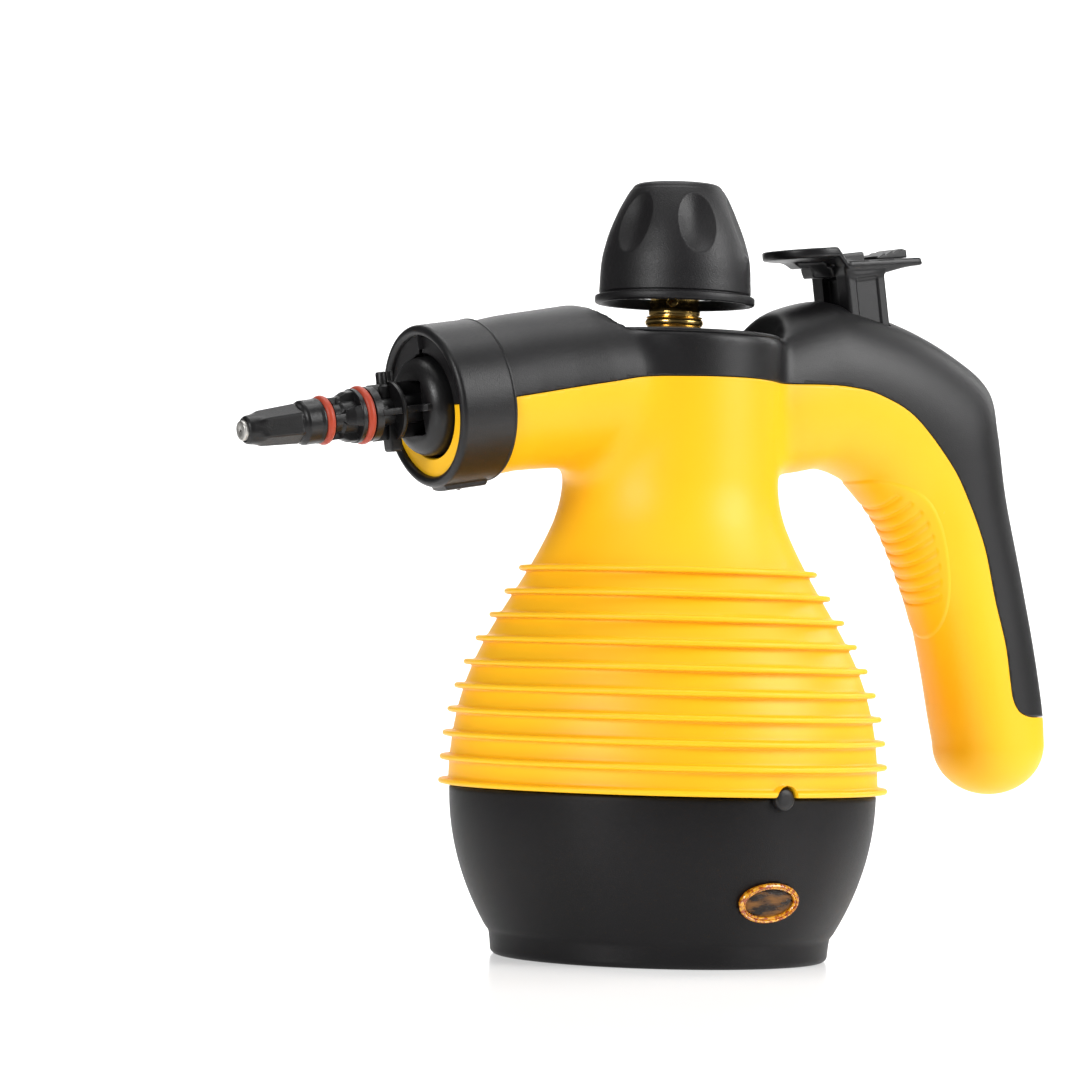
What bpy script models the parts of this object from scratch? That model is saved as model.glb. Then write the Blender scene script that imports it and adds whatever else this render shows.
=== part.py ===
"""Hand-held steam cleaner: ribbed boiler housing, hook handle, finned nozzle and push-and-turn safety cap.

Metres, +Z up. The origin is the centre of the base, on the surface that the cleaner stands on.
The nozzle points towards -X and the hook handle towards +X.
"""
import math

import bmesh
import bpy
import numpy as np
from mathutils import Matrix, Vector

# Fits and walls
TOUCH_GAP = 0.0003
SLIDE_GAP = 0.0005
OVERRUN = 0.002
WALL = 0.0024

# Base cover
BASE_HEIGHT = 0.0523
BASE_RADIUS = 0.0665
BASE_KNEE_SHARE = 0.555
FOOT_RADIUS = 0.0525
FOOT_HEIGHT = 0.0080
FOOT_STEP = 0.0014
FOOT_EDGE = 0.0020
FLOOR_THICKNESS = 0.0025
LAP_HEIGHT = 0.0030
LAP_THICKNESS = 0.0018
PILLAR_RADIUS = 0.0048
PILLAR_CIRCLE = 0.0440
PILLAR_COUNT = 3

# Body of revolution above the seam
BELLY_RADIUS = 0.0669
BELLY_HEIGHT = 0.0892
WAIST_RADIUS = 0.0337
WAIST_BLEND = 0.0070
COLUMN_HEIGHT = 0.0520
RECESS_DEPTH = 0.0400
BELLY_CURVE_SHARES = (0.51, 0.62, 0.34)

# Ribs and the prying notch at the seam
RIB_COUNT = 10
RIB_PITCH = 0.00741
RIB_THICKNESS = 0.0019
RIB_HEIGHT = 0.0031
NOTCH_RADIUS = 0.0037

# Spout and collar, on an axis tilted down to the nozzle
SPOUT_TILT = math.radians(9.5)
SPOUT_REACH = 0.0885
SPOUT_DROP = 0.0264
SPOUT_RADIUS = 0.0237
SPOUT_STATION_SHARES = (
    (0.665, 0.985, 1.055, 1.00),
    (0.540, 1.010, 1.067, 1.00),
    (0.440, 1.090, 1.076, 1.02),
    (0.200, 1.450, 1.040, 1.08),
)
COLLAR_RADIUS = 0.0247
COLLAR_LENGTH = 0.0180
COLLAR_LIP_LENGTH = 0.0028
COLLAR_LIP_RADIUS = 0.0220
COLLAR_EDGE = 0.0018
COLLAR_PAD_WIDTH = 0.0090
COLLAR_PAD_HEIGHT = 0.0014

# Hook handle, between an inner and an outer rail. The root, over the steam valve, keeps its own depth
# when the height changes. Each row has the inner rail's reach, depth and drop shares, the outer rail's
# three, and the share of the half-width. The drop is what the height has beyond the root's depth.
HANDLE_REACH = 0.1440
HANDLE_RISE = 0.0139
HANDLE_HEIGHT = 0.1565
HANDLE_ROOT_DEPTH = 0.0584
HANDLE_HALF_WIDTH = 0.0200
HANDLE_END_LENGTH = 0.0165
HANDLE_ROUNDNESS = 2.2
END_ANGLES = (30, 55, 75)
HANDLE_STATION_SHARES = (
    (0.150, 1.000, 0.000, 0.150, 0.161, 0.000, 1.00),
    (0.306, 0.938, 0.000, 0.306, 0.014, 0.000, 1.00),
    (0.389, 0.908, 0.000, 0.417, 0.005, 0.000, 1.00),
    (0.469, 0.959, 0.000, 0.583, 0.099, 0.000, 0.97),
    (0.517, 1.000, 0.035, 0.719, 0.233, 0.000, 0.94),
    (0.564, 1.000, 0.111, 0.818, 0.394, 0.000, 0.91),
    (0.597, 1.000, 0.188, 0.846, 0.550, 0.038, 0.89),
    (0.635, 1.000, 0.295, 0.872, 0.800, 0.109, 0.87),
    (0.674, 1.000, 0.419, 0.917, 1.000, 0.234, 0.85),
    (0.708, 1.000, 0.596, 0.961, 1.000, 0.489, 0.85),
    (0.731, 1.000, 0.745, 0.992, 1.000, 0.703, 0.85),
    (0.747, 1.000, 0.836, 1.000, 1.000, 0.826, 0.84),
)

# Thumb grip: grooves across the handle's inner rail, from one station to another
GROOVE_COUNT = 9
GROOVE_RADIUS = 0.0008
GROOVE_STATION_SHARES = (0.36, 0.74)
GROOVE_REACH_SHARE = 0.15

# Colour seam between the housing and the top cover: over the spout as shares of its reach and drop,
# and along the handle as shares of its reach, its root's depth and its drop
SEAM_LEFT_SHARES = ((-1.009, 0.967), (-0.776, 0.871), (-0.540, 0.712), (-0.339, 0.595))
SEAM_RIGHT_SHARES = (
    (0.187, 0.480, 0.000), (0.374, 0.472, 0.000), (0.456, 0.504, 0.000), (0.554, 0.608, 0.000),
    (0.656, 0.800, 0.026), (0.708, 0.900, 0.079), (0.763, 1.000, 0.183), (0.797, 1.000, 0.353),
    (0.828, 1.000, 0.500), (0.851, 1.000, 0.647), (0.868, 1.000, 0.704), (0.900, 1.000, 0.732),
)

# Steam button, in its own frame leaning with the press axis
BUTTON_LEAN = math.radians(9.0)
BUTTON_PLACE_SHARE = 0.453
BUTTON_CLEARANCE = 0.0253
PLATE_RADIUS = 0.0140
PLATE_OFFSET = 0.0152
PLATE_LIFT = 0.0040
PLATE_THICKNESS = 0.0028
TAB_THICKNESS = 0.0025
TAB_LENGTH = 0.0225
TAB_HALF_WIDTH = 0.0110
STEM_LENGTH = 0.0150
STEM_WIDTH = 0.0200
STEM_DEPTH = 0.0270
GUSSET_THICKNESS = 0.0020
GUSSET_DEPTH = 0.0035
SLIDER_LENGTH = 0.0120
SLIDER_WIDTH = 0.0120
SLIDER_HEIGHT = 0.0032
SLIDER_TRAVEL = 0.0040
RIDGE_COUNT = 3
RIDGE_FALL_SHARE = 0.18

# Filler neck and safety cap
NECK_RADIUS = 0.0100
NECK_BORE = 0.0074
NECK_FLANGE_RADIUS = 0.0130
NECK_FLANGE_THICKNESS = 0.0020
NECK_SEAL_THICKNESS = 0.0010
NECK_STAND = 0.0008
BOSS_RADIUS = 0.0135
BOSS_HEIGHT = 0.0018
GASKET_THICKNESS = 0.0010
CORE_FLANGE_RADIUS = 0.0091
CORE_FLANGE_HEIGHT = 0.0036
CORE_RADIUS = 0.0081
CORE_BODY_HEIGHT = 0.0076
CORE_HEAD_RADIUS = 0.0090
CORE_HEAD_HEIGHT = 0.0050
CORE_SHANK_RADIUS = 0.0050
CORE_SHANK_HEIGHT = 0.0080
CORE_PLUG_LENGTH = 0.0090
CORE_BORE = 0.0032
CORE_ORIFICE = 0.0016
VENT_RADIUS = 0.0019
CAP_RADIUS = 0.0250
CAP_SHOULDER = 0.0238
CAP_RISE = 0.0074
CAP_RIM_HEIGHT = 0.0027
CAP_HEIGHT = 0.0382
CAP_TOP_RADIUS = 0.0135
CAP_WALL = 0.0022
CAP_SLEEVE_RADIUS = 0.0116
CAP_TRAVEL = 0.0045
SCOOP_COUNT = 6
SCOOP_WIDTH = 0.0120
SCOOP_HEIGHT = 0.0190
SCOOP_DEPTH = 0.0026
SCOOP_TURN = math.radians(-15.0)
SCOOP_LEAN = math.radians(20.0)
VENT_TURN = math.radians(-38.0)
RETAINER_THICKNESS = 0.0015
RELIEF_RADIUS = 0.0028
RELIEF_LENGTH = 0.0075

# Boiler
BOILER_RADIUS = 0.0380
BOILER_WALL = 0.0030
BOILER_BOTTOM = 0.0210
BOILER_LOWER_HEIGHT = 0.0420
BOILER_UPPER_HEIGHT = 0.0380
BOILER_FLANGE_RADIUS = 0.0520
BOILER_FLANGE_THICKNESS = 0.0040
BOILER_EDGE = 0.0120
BOILER_BOSS_RADIUS = 0.0130
BOILER_BOSS_HEIGHT = 0.0120
BOILER_GASKET_THICKNESS = 0.0010
BOILER_SCREW_COUNT = 4
BOILER_SCREW_CIRCLE = 0.0470
SCREW_HEAD_RADIUS = 0.0032
SCREW_HEAD_HEIGHT = 0.0022
SCREW_SHANK_RADIUS = 0.0015

# Heater and electrics
ELEMENT_CIRCLE = 0.0270
ELEMENT_RADIUS = 0.0033
ELEMENT_OPENING = math.radians(50.0)
THERMOSTAT_RADIUS = 0.0085
THERMOSTAT_HEIGHT = 0.0070
FUSE_RADIUS = 0.0022
FUSE_LENGTH = 0.0140
FUSE_PLACE = 0.0160
BLOCK_LENGTH = 0.0110
BLOCK_WIDTH = 0.0220
BLOCK_HEIGHT = 0.0090
BLOCK_PLACE = 0.0400
WIRE_RADIUS = 0.0009
WIRE_CIRCLE = 0.0375
WIRE_ANGLES = (-112, -95, -78, -60, -42)

# Lamp and its oval lens at the -Y side, and the cord gland at the +X side
LENS_HEIGHT = 0.0210
LENS_HALF_WIDTH = 0.0103
LENS_HALF_HEIGHT = 0.0064
LENS_RIM = 0.0013
LENS_DEPTH = 0.0045
LAMP_RADIUS = 0.0029
LAMP_LENGTH = 0.0120
GLAND_HEIGHT = 0.0270
GLAND_RADIUS = 0.0062
GLAND_FLANGE_RADIUS = 0.0080
GLAND_FLANGE_THICKNESS = 0.0016
GLAND_BORE = 0.0036
GLAND_LENGTH = 0.0100

# Steam valve under the button, and its pipes
VALVE_RADIUS = 0.0075
VALVE_LENGTH = 0.0240
VALVE_BORE = 0.0045
VALVE_ROOF = 0.0040
PLUNGER_RADIUS = 0.0020
PLUNGER_PISTON_RADIUS = 0.0040
PLUNGER_PISTON_LENGTH = 0.0060
VALVE_STAND_OFF = 0.0110
PIPE_RADIUS = 0.0025
PIPE_OFFSET = 0.0135

# Nozzle, along the spout axis
HUB_RADIUS = 0.0155
HUB_FLANGE_RADIUS = 0.0180
HUB_FLANGE_THICKNESS = 0.0025
HUB_SOCKET_RADIUS = 0.0090
HUB_RISE = 0.0060
NOZZLE_LENGTH = 0.0614
NOZZLE_BORE = 0.0022
ROOT_RADIUS = 0.0086
ROOT_DEPTH = 0.0120
STEM_CORE_RADIUS = 0.0045
FIN_COUNT = 4
FIN_THICKNESS = 0.0022
FIN_RADIUS = 0.0085
LUG_PLACE = 0.0110
LUG_RADIUS = 0.0120
LUG_LENGTH = 0.0050
LUG_WIDTH = 0.0070
POST_PLACE = 0.0123
POST_RADIUS = 0.0016
KEY_PLACE = 0.0091
KEY_LENGTH = 0.0012
REAR_RING_PLACE = 0.0212
REAR_RING_RADIUS = 0.0086
FRONT_RING_PLACE = 0.0342
FRONT_RING_RADIUS = 0.0072
RING_THICKNESS = 0.0026
LAND_LENGTH = 0.0028
WAIST_CORE_RADIUS = 0.0048
SHOULDER_END = 0.0415
BARREL_RADIUS = 0.0063
BARREL_TIP_RADIUS = 0.0046
BARREL_SIDES = 6
TIP_RADIUS = 0.0031
TIP_LENGTH = 0.0060
TIP_BORE = 0.0009

# Cover screw under the handle's root
COVER_SCREW_SHARE = 0.3195
SCREW_WELL_RADIUS = 0.0038
SCREW_BOSS_WALL = 0.0016

# Numbers of segments
BODY_SEGMENTS = 28
CAP_SEGMENTS = 24
ROUND_SEGMENTS = 16
SMALL_SEGMENTS = 12
TINY_SEGMENTS = 8
NOZZLE_SEGMENTS = 16
O_RING_STEPS = 6
ELEMENT_STEPS = 14
PLATE_STEPS = 16
SCOOP_SEGMENTS = (12, 7)
SPRING_TURNS = 4
BELLY_STEPS = 60
BLEND_STEPS = 6
BASE_STEPS = 6
BASE_LOOKUP_STEPS = 40
CAP_STEPS = 7
DOME_STEPS = 5
LOFT_SEGMENTS = 20
INNER_LOFT_SEGMENTS = 16
FREE_WALL_STEPS = 6
INNER_WALL_STEPS = 5
COIL_POINTS = 6

# Heights and places worked out from the sizes above
WAIST_Z = BASE_HEIGHT + BELLY_HEIGHT
FLOOR_Z = WAIST_Z + COLUMN_HEIGHT
CROWN_Z = FLOOR_Z + HANDLE_RISE
FLANGE_Z = BOILER_BOTTOM + BOILER_LOWER_HEIGHT
UPPER_Z = FLANGE_Z + BOILER_GASKET_THICKNESS + 2 * TOUCH_GAP
BOILER_TOP_Z = UPPER_Z + BOILER_UPPER_HEIGHT
NECK_TOP_Z = FLOOR_Z + NECK_STAND
CORE_BASE_Z = NECK_TOP_Z + GASKET_THICKNESS + 2 * TOUCH_GAP
BUTTON_Z = FLOOR_Z + BUTTON_CLEARANCE
BUTTON_PLACE = HANDLE_REACH * BUTTON_PLACE_SHARE
COVER_SCREW_PLACE = HANDLE_REACH * COVER_SCREW_SHARE
HANDLE_DROP = HANDLE_HEIGHT - HANDLE_ROOT_DEPTH


def clear_scene():
    """Start from an empty scene."""
    for obj in list(bpy.data.objects):
        bpy.data.objects.remove(obj, do_unlink=True)


def new_collection(name):
    collection = bpy.data.collections.new(name)
    bpy.context.scene.collection.children.link(collection)
    return collection


clear_scene()
PARTS = new_collection("steam_cleaner")
CUTTERS = new_collection("cutters")


def make_material(name, color, roughness, metallic=0.0, alpha=1.0):
    """A plain Principled material."""
    material = bpy.data.materials.new(name)
    material.use_nodes = True
    shader = material.node_tree.nodes["Principled BSDF"]
    shader.inputs["Base Color"].default_value = (*color, 1.0)
    shader.inputs["Roughness"].default_value = roughness
    shader.inputs["Metallic"].default_value = metallic
    shader.inputs["Alpha"].default_value = alpha
    return material


YELLOW = make_material("yellow_plastic", (1.0, 0.66, 0.06), 0.42)
BLACK = make_material("black_plastic", (0.025, 0.025, 0.027), 0.50)
NOZZLE_BLACK = make_material("nozzle_plastic", (0.018, 0.018, 0.018), 0.35)
ORANGE = make_material("seal_silicone", (0.56, 0.09, 0.03), 0.45)
BRASS = make_material("brass", (0.80, 0.56, 0.20), 0.28, 1.0)
STEEL = make_material("steel", (0.62, 0.62, 0.60), 0.30, 1.0)
ALUMINIUM = make_material("boiler_aluminium", (0.72, 0.72, 0.73), 0.45, 1.0)
SILICONE = make_material("white_silicone", (0.75, 0.73, 0.70), 0.55)
AMBER = make_material("amber_lens", (0.75, 0.26, 0.02), 0.08, 0.0, 0.6)
GLASS = make_material("lamp_glass", (0.85, 0.55, 0.35), 0.10, 0.0, 0.5)
RUBBER = make_material("black_rubber", (0.03, 0.03, 0.03), 0.75)
COPPER = make_material("copper_pipe", (0.72, 0.36, 0.20), 0.30, 1.0)
BLOCK_WHITE = make_material("terminal_plastic", (0.80, 0.79, 0.74), 0.55)
WIRE_RED = make_material("wire_sleeve", (0.55, 0.05, 0.04), 0.55)


def as_cutter(obj):
    """Keep an object as a guide that cuts or joins others."""
    for collection in list(obj.users_collection):
        collection.objects.unlink(obj)
    CUTTERS.objects.link(obj)
    obj.hide_render = True
    obj.display_type = "WIRE"
    return obj


def add_object(name, mesh, material=None, parent=None):
    """Put a mesh into the parts, or among the cutters when it has no material."""
    obj = bpy.data.objects.new(name, mesh)
    PARTS.objects.link(obj)
    if material is None:
        as_cutter(obj)
    else:
        mesh.materials.append(material)
        mesh.shade_smooth()
        mesh.set_sharp_from_angle(angle=math.radians(35.0))
    obj.parent = parent
    return obj


def mesh_from(bm, name):
    mesh = bpy.data.meshes.new(name)
    bm.to_mesh(mesh)
    bm.free()
    return mesh


def empty_axis(name, location, turn):
    """An empty on a joint's or a bore's axis, turned by angles about X, Y and Z."""
    empty = bpy.data.objects.new(name, None)
    PARTS.objects.link(empty)
    empty.location = location
    empty.rotation_euler = turn
    return empty


def turned(name, profile, segments, material=None, parent=None, closed=False):
    """A profile of (radius, height) points, down its outer side, turned about the local upright axis."""
    mesh = bpy.data.meshes.new(name)
    edges = [(i, i + 1) for i in range(len(profile) - 1)]
    if closed:
        edges.append((len(profile) - 1, 0))
    mesh.from_pydata([(r, 0.0, z) for r, z in profile], edges, [])
    obj = add_object(name, mesh, material, parent)
    screw = obj.modifiers.new("Turn", "SCREW")
    screw.axis = "Z"
    screw.angle = 2 * math.pi
    screw.steps = segments
    screw.render_steps = segments
    screw.use_merge_vertices = True
    screw.merge_threshold = 0.00001
    return obj


def rod(name, radius, low, high, segments=SMALL_SEGMENTS, material=None, parent=None, tip=None):
    """A cylinder or a cone frustum along the local upright axis."""
    bm = bmesh.new()
    bmesh.ops.create_cone(bm, cap_ends=True, segments=segments, radius1=radius,
                          radius2=radius if tip is None else tip, depth=high - low)
    bmesh.ops.translate(bm, verts=bm.verts, vec=(0.0, 0.0, (low + high) / 2))
    return add_object(name, mesh_from(bm, name), material, parent)


def box(name, low, high, material=None, parent=None, edge=0.0):
    """A box between two corners, with its edges rounded by a bevel where asked."""
    bm = bmesh.new()
    bmesh.ops.create_cube(bm, size=1.0)
    size = [b - a for a, b in zip(low, high)]
    middle = [(a + b) / 2 for a, b in zip(low, high)]
    bmesh.ops.scale(bm, verts=bm.verts, vec=size)
    bmesh.ops.translate(bm, verts=bm.verts, vec=middle)
    obj = add_object(name, mesh_from(bm, name), material, parent)
    if edge > 0.0:
        round_edges(obj, edge)
    return obj


def round_edges(obj, width, segments=2):
    bevel = obj.modifiers.new("Round", "BEVEL")
    bevel.width = width
    bevel.segments = segments
    bevel.limit_method = "ANGLE"
    bevel.angle_limit = math.radians(40.0)


def combine(obj, other, operation):
    boolean = obj.modifiers.new(operation.title(), "BOOLEAN")
    boolean.operation = operation
    boolean.solver = "EXACT"
    boolean.object = other


def cut(obj, *cutters):
    for cutter in cutters:
        combine(obj, cutter, "DIFFERENCE")


def join(obj, *others):
    for other in others:
        combine(obj, other, "UNION")


def keep_common(obj, other):
    combine(obj, other, "INTERSECT")


def solid_copy(obj, name, material=None, parent=None):
    """A new object with the evaluated mesh of another, welded, in world space."""
    bpy.context.view_layer.update()
    graph = bpy.context.evaluated_depsgraph_get()
    mesh = bpy.data.meshes.new_from_object(obj.evaluated_get(graph))
    mesh.name = name
    mesh.transform(obj.matrix_world)
    mesh.materials.clear()
    bm = bmesh.new()
    bm.from_mesh(mesh)
    bmesh.ops.remove_doubles(bm, verts=bm.verts, dist=0.00001)
    bm.to_mesh(mesh)
    bm.free()
    copy = add_object(name, mesh, material, None)
    if parent is not None:
        bpy.context.view_layer.update()
        copy.parent = parent
        copy.matrix_parent_inverse = parent.matrix_world.inverted()
    return copy


def curve_object(name, splines, cyclic=False, flat=False):
    curve = bpy.data.curves.new(name, "CURVE")
    curve.dimensions = "2D" if flat else "3D"
    for points in splines:
        spline = curve.splines.new("POLY")
        spline.points.add(len(points) - 1)
        for target, point in zip(spline.points, points):
            place = (*point, 0.0) if flat else tuple(point)
            target.co = (*place, 1.0)
        spline.use_cyclic_u = cyclic
    obj = bpy.data.objects.new(name, curve)
    PARTS.objects.link(obj)
    return obj


def made_solid(obj, name, material, parent):
    """A curve turned into a welded mesh that takes the curve's place."""
    obj.parent = parent
    bpy.context.view_layer.update()
    solid = solid_copy(obj, name, material, parent)
    bpy.data.objects.remove(obj, do_unlink=True)
    return solid


def extruded(name, outline, low, high, plane="XZ", material=None, parent=None):
    """A flat outline given thickness: in XZ it is thick along Y from low to high, in XY along Z."""
    obj = curve_object(name + "_outline", [outline], cyclic=True, flat=True)
    obj.data.fill_mode = "BOTH"
    obj.data.extrude = (high - low) / 2
    middle = (low + high) / 2
    if plane == "XZ":
        obj.rotation_euler = (math.pi / 2, 0.0, 0.0)
        obj.location = (0.0, middle, 0.0)
    else:
        obj.location = (0.0, 0.0, middle)
    return made_solid(obj, name, material, parent)


def tube(name, points, radius, material, parent=None, resolution=1):
    """A round bar or wire along points, with closed ends."""
    obj = curve_object(name + "_path", [points])
    obj.data.bevel_depth = radius
    obj.data.bevel_resolution = resolution
    obj.data.use_fill_caps = True
    return made_solid(obj, name, material, parent)


def coil_points(radius, low, high, turns):
    """A helix about the local upright axis from low to high."""
    count = turns * COIL_POINTS
    return [
        (radius * math.cos(2 * math.pi * i / COIL_POINTS),
         radius * math.sin(2 * math.pi * i / COIL_POINTS),
         low + (high - low) * i / count)
        for i in range(count + 1)
    ]


def spring(name, radius, wire, low, high, turns, parent=None):
    """A compression spring that fills the height from low to high."""
    return tube(name, coil_points(radius, low + wire, high - wire, turns), wire, STEEL, parent, resolution=0)


def smooth_route(points, steps=4):
    """Catmull-Rom points through a short list of route points."""
    ends = [points[0]] + list(points) + [points[-1]]
    ends = [np.array(p, dtype=float) for p in ends]
    route = []
    for a, b, c, d in zip(ends, ends[1:], ends[2:], ends[3:]):
        for i in range(steps):
            t = i / steps
            route.append(0.5 * ((2 * b) + (c - a) * t + (2 * a - 5 * b + 4 * c - d) * t * t
                                + (3 * b - a - 3 * c + d) * t ** 3))
    route.append(ends[-2])
    return [tuple(p) for p in route]


def loft(name, rings, material=None):
    """A skin over rings of equal point counts, closed with a flat cap at each end."""
    bm = bmesh.new()
    rows = [[bm.verts.new(point) for point in ring] for ring in rings]
    for lower, upper in zip(rows, rows[1:]):
        for i in range(len(lower)):
            j = (i + 1) % len(lower)
            bm.faces.new((lower[i], lower[j], upper[j], upper[i]))
    bm.faces.new(rows[0])
    bm.faces.new(rows[-1])
    bmesh.ops.recalc_face_normals(bm, faces=bm.faces)
    return add_object(name, mesh_from(bm, name), material)


def oval_ring(low, high, half_width, power=2.0, count=LOFT_SEGMENTS):
    """A super-ellipse between a low and a high point in the XZ plane, half_width wide each way in Y."""
    low = Vector((low[0], 0.0, low[1]))
    high = Vector((high[0], 0.0, high[1]))
    middle = (low + high) / 2
    up = (high - low) / 2
    ring = []
    for i in range(count):
        angle = 2 * math.pi * i / count
        c, s = math.cos(angle), math.sin(angle)
        across = half_width * math.copysign(abs(s) ** (2 / power), s)
        along = math.copysign(abs(c) ** (2 / power), c)
        ring.append(middle + up * along + Vector((0.0, across, 0.0)))
    return ring


def inset_rail(low, high, inset):
    """Both ends of a station moved towards each other by a wall's thickness."""
    low, high = np.array(low), np.array(high)
    step = (high - low) / np.linalg.norm(high - low) * inset
    return tuple(low + step), tuple(high - step)


# Spout frame: local Z runs out along the nozzle, local X is up, and the origin is the collar's front
SPOUT_AXIS = empty_axis("spout_axis", (-SPOUT_REACH, 0.0, FLOOR_Z - SPOUT_DROP),
                        (0.0, -(math.pi / 2 + SPOUT_TILT), 0.0))
BUTTON_AXIS = empty_axis("button_axis", (BUTTON_PLACE, 0.0, BUTTON_Z), (0.0, -BUTTON_LEAN, 0.0))
CAP_AXIS = empty_axis("cap_axis", (0.0, 0.0, CORE_BASE_Z), (0.0, 0.0, 0.0))


def spout_point(out, up=0.0):
    """World X and Z of a point on the spout's axis, `out` beyond the collar's front and `up` across it."""
    x = -SPOUT_REACH - out * math.cos(SPOUT_TILT) - up * math.sin(SPOUT_TILT)
    z = FLOOR_Z - SPOUT_DROP - out * math.sin(SPOUT_TILT) + up * math.cos(SPOUT_TILT)
    return x, z


def bezier(p0, p1, p2, p3, count):
    t = np.linspace(0.0, 1.0, count)[:, None]
    p0, p1, p2, p3 = (np.array(p) for p in (p0, p1, p2, p3))
    return (1 - t) ** 3 * p0 + 3 * (1 - t) ** 2 * t * p1 + 3 * (1 - t) * t * t * p2 + t ** 3 * p3


def belly_curve():
    """Radius and height of the pear from the seam to the column, as one smooth curve."""
    near, far, waist_share = BELLY_CURVE_SHARES
    knee_radius = WAIST_RADIUS + waist_share * (BELLY_RADIUS - WAIST_RADIUS)
    curve = bezier((BELLY_RADIUS, BASE_HEIGHT), (BELLY_RADIUS, BASE_HEIGHT + near * BELLY_HEIGHT),
                   (knee_radius, BASE_HEIGHT + far * BELLY_HEIGHT), (WAIST_RADIUS, WAIST_Z), BELLY_STEPS)
    start = curve[curve[:, 1] <= WAIST_Z - WAIST_BLEND]
    corner = np.array((WAIST_RADIUS, WAIST_Z))
    end = np.array((WAIST_RADIUS, WAIST_Z + WAIST_BLEND))
    t = np.linspace(0.0, 1.0, BLEND_STEPS)[1:, None]
    blend = (1 - t) ** 2 * start[-1] + 2 * (1 - t) * t * corner + t ** 2 * end
    return np.vstack((start, blend))


BELLY = belly_curve()


def belly_radius(z):
    return float(np.interp(z, BELLY[:, 1], BELLY[:, 0]))


def base_curve(count=BASE_STEPS):
    """Radius and height of the base's outer wall, from the seam down to the foot's step."""
    top = np.array((BASE_RADIUS, BASE_HEIGHT - TOUCH_GAP))
    foot = np.array((FOOT_RADIUS + FOOT_STEP, FOOT_HEIGHT))
    belly = np.array((BASE_RADIUS, BASE_HEIGHT * BASE_KNEE_SHARE))
    t = np.linspace(0.0, 1.0, count)[:, None]
    return (1 - t) ** 2 * top + 2 * (1 - t) * t * belly + t ** 2 * foot


def base_radius(z):
    curve = base_curve(BASE_LOOKUP_STEPS)[::-1]
    return float(np.interp(z, curve[:, 1], curve[:, 0]))


def handle_point(reach_share, depth_share, drop_share):
    """World X and Z of a place on the handle, below its crown."""
    return (reach_share * HANDLE_REACH,
            CROWN_Z - depth_share * HANDLE_ROOT_DEPTH - drop_share * HANDLE_DROP)


def handle_stations(steps=1):
    """Inner point, outer point and half-width along the handle, smoothed between the named stations."""
    table = []
    for low_x, low_depth, low_drop, high_x, high_depth, high_drop, width in HANDLE_STATION_SHARES:
        table.append((*handle_point(low_x, low_depth, low_drop), *handle_point(high_x, high_depth, high_drop),
                      width * HANDLE_HALF_WIDTH))
    return [((s[0], s[1]), (s[2], s[3]), s[4]) for s in smooth_route(table, steps)]


def handle_rings(inset=0.0, count=LOFT_SEGMENTS):
    """Rings along the handle, rounded off at its free end, each drawn in by the inset."""
    stations = handle_stations()
    rings = []
    for low, high, width in stations:
        low, high = inset_rail(low, high, inset)
        rings.append(oval_ring(low, high, width - inset, HANDLE_ROUNDNESS, count))
    low, high, width = stations[-1]
    low, high = inset_rail(low, high, inset)
    ring = oval_ring(low, high, width - inset, HANDLE_ROUNDNESS, count)
    middle = sum(ring, Vector()) / count
    along = Vector((low[1] - high[1], 0.0, high[0] - low[0])).normalized() * -(HANDLE_END_LENGTH - inset)
    for degrees in END_ANGLES:
        angle = math.radians(degrees)
        shift = along * math.sin(angle)
        rings.append([middle + (point - middle) * math.cos(angle) + shift for point in ring])
    return rings


def spout_rings(inset=0.0, count=LOFT_SEGMENTS):
    """Rings from the spout's front face, through the collar's seat, into the column."""
    front = -COLLAR_LIP_LENGTH - TOUCH_GAP - inset
    rings = []
    for out in (front, -COLLAR_LENGTH - OVERRUN):
        low = spout_point(out, -SPOUT_RADIUS)
        high = spout_point(out, SPOUT_RADIUS)
        low, high = inset_rail(low, high, inset)
        rings.append(oval_ring(low, high, SPOUT_RADIUS - inset, 2.0, count))
    for share, below, above, width in SPOUT_STATION_SHARES:
        x = -share * SPOUT_REACH
        axis_z = FLOOR_Z - SPOUT_DROP + math.tan(SPOUT_TILT) * (x + SPOUT_REACH)
        low, high = (x, axis_z - below * SPOUT_RADIUS), (x, axis_z + above * SPOUT_RADIUS)
        low, high = inset_rail(low, high, inset)
        rings.append(oval_ring(low, high, width * SPOUT_RADIUS - inset, 2.0, count))
    return rings


def pear_profile():
    """Outer side of the ribbed pear and column, top to bottom."""
    top = FLOOR_Z + OVERRUN
    points = [(0.0, top), (WAIST_RADIUS, top)]
    top_rib = BASE_HEIGHT + (RIB_COUNT - 1) * RIB_PITCH + RIB_THICKNESS
    for z in np.linspace(WAIST_Z + WAIST_BLEND, top_rib, FREE_WALL_STEPS, endpoint=False):
        points.append((belly_radius(z), z))
    for k in reversed(range(RIB_COUNT)):
        low = BASE_HEIGHT + k * RIB_PITCH
        high = low + RIB_THICKNESS
        tip = belly_radius((low + high) / 2) + RIB_HEIGHT
        points += [(belly_radius(high), high), (tip, high), (tip, low)]
        if k > 0:
            points.append((belly_radius(low), low))
    points.append((0.0, BASE_HEIGHT))
    return points


def pear_inside():
    """Inner side of the housing's wall, top to bottom."""
    top = FLOOR_Z - WALL
    points = [(0.0, top), (WAIST_RADIUS - WALL, top)]
    for z in np.linspace(WAIST_Z + WAIST_BLEND, BASE_HEIGHT + LAP_HEIGHT + OVERRUN, INNER_WALL_STEPS):
        points.append((belly_radius(z) - WALL, z))
    points.append((BELLY_RADIUS - WALL, BASE_HEIGHT - OVERRUN))
    points.append((0.0, BASE_HEIGHT - OVERRUN))
    return points


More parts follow.
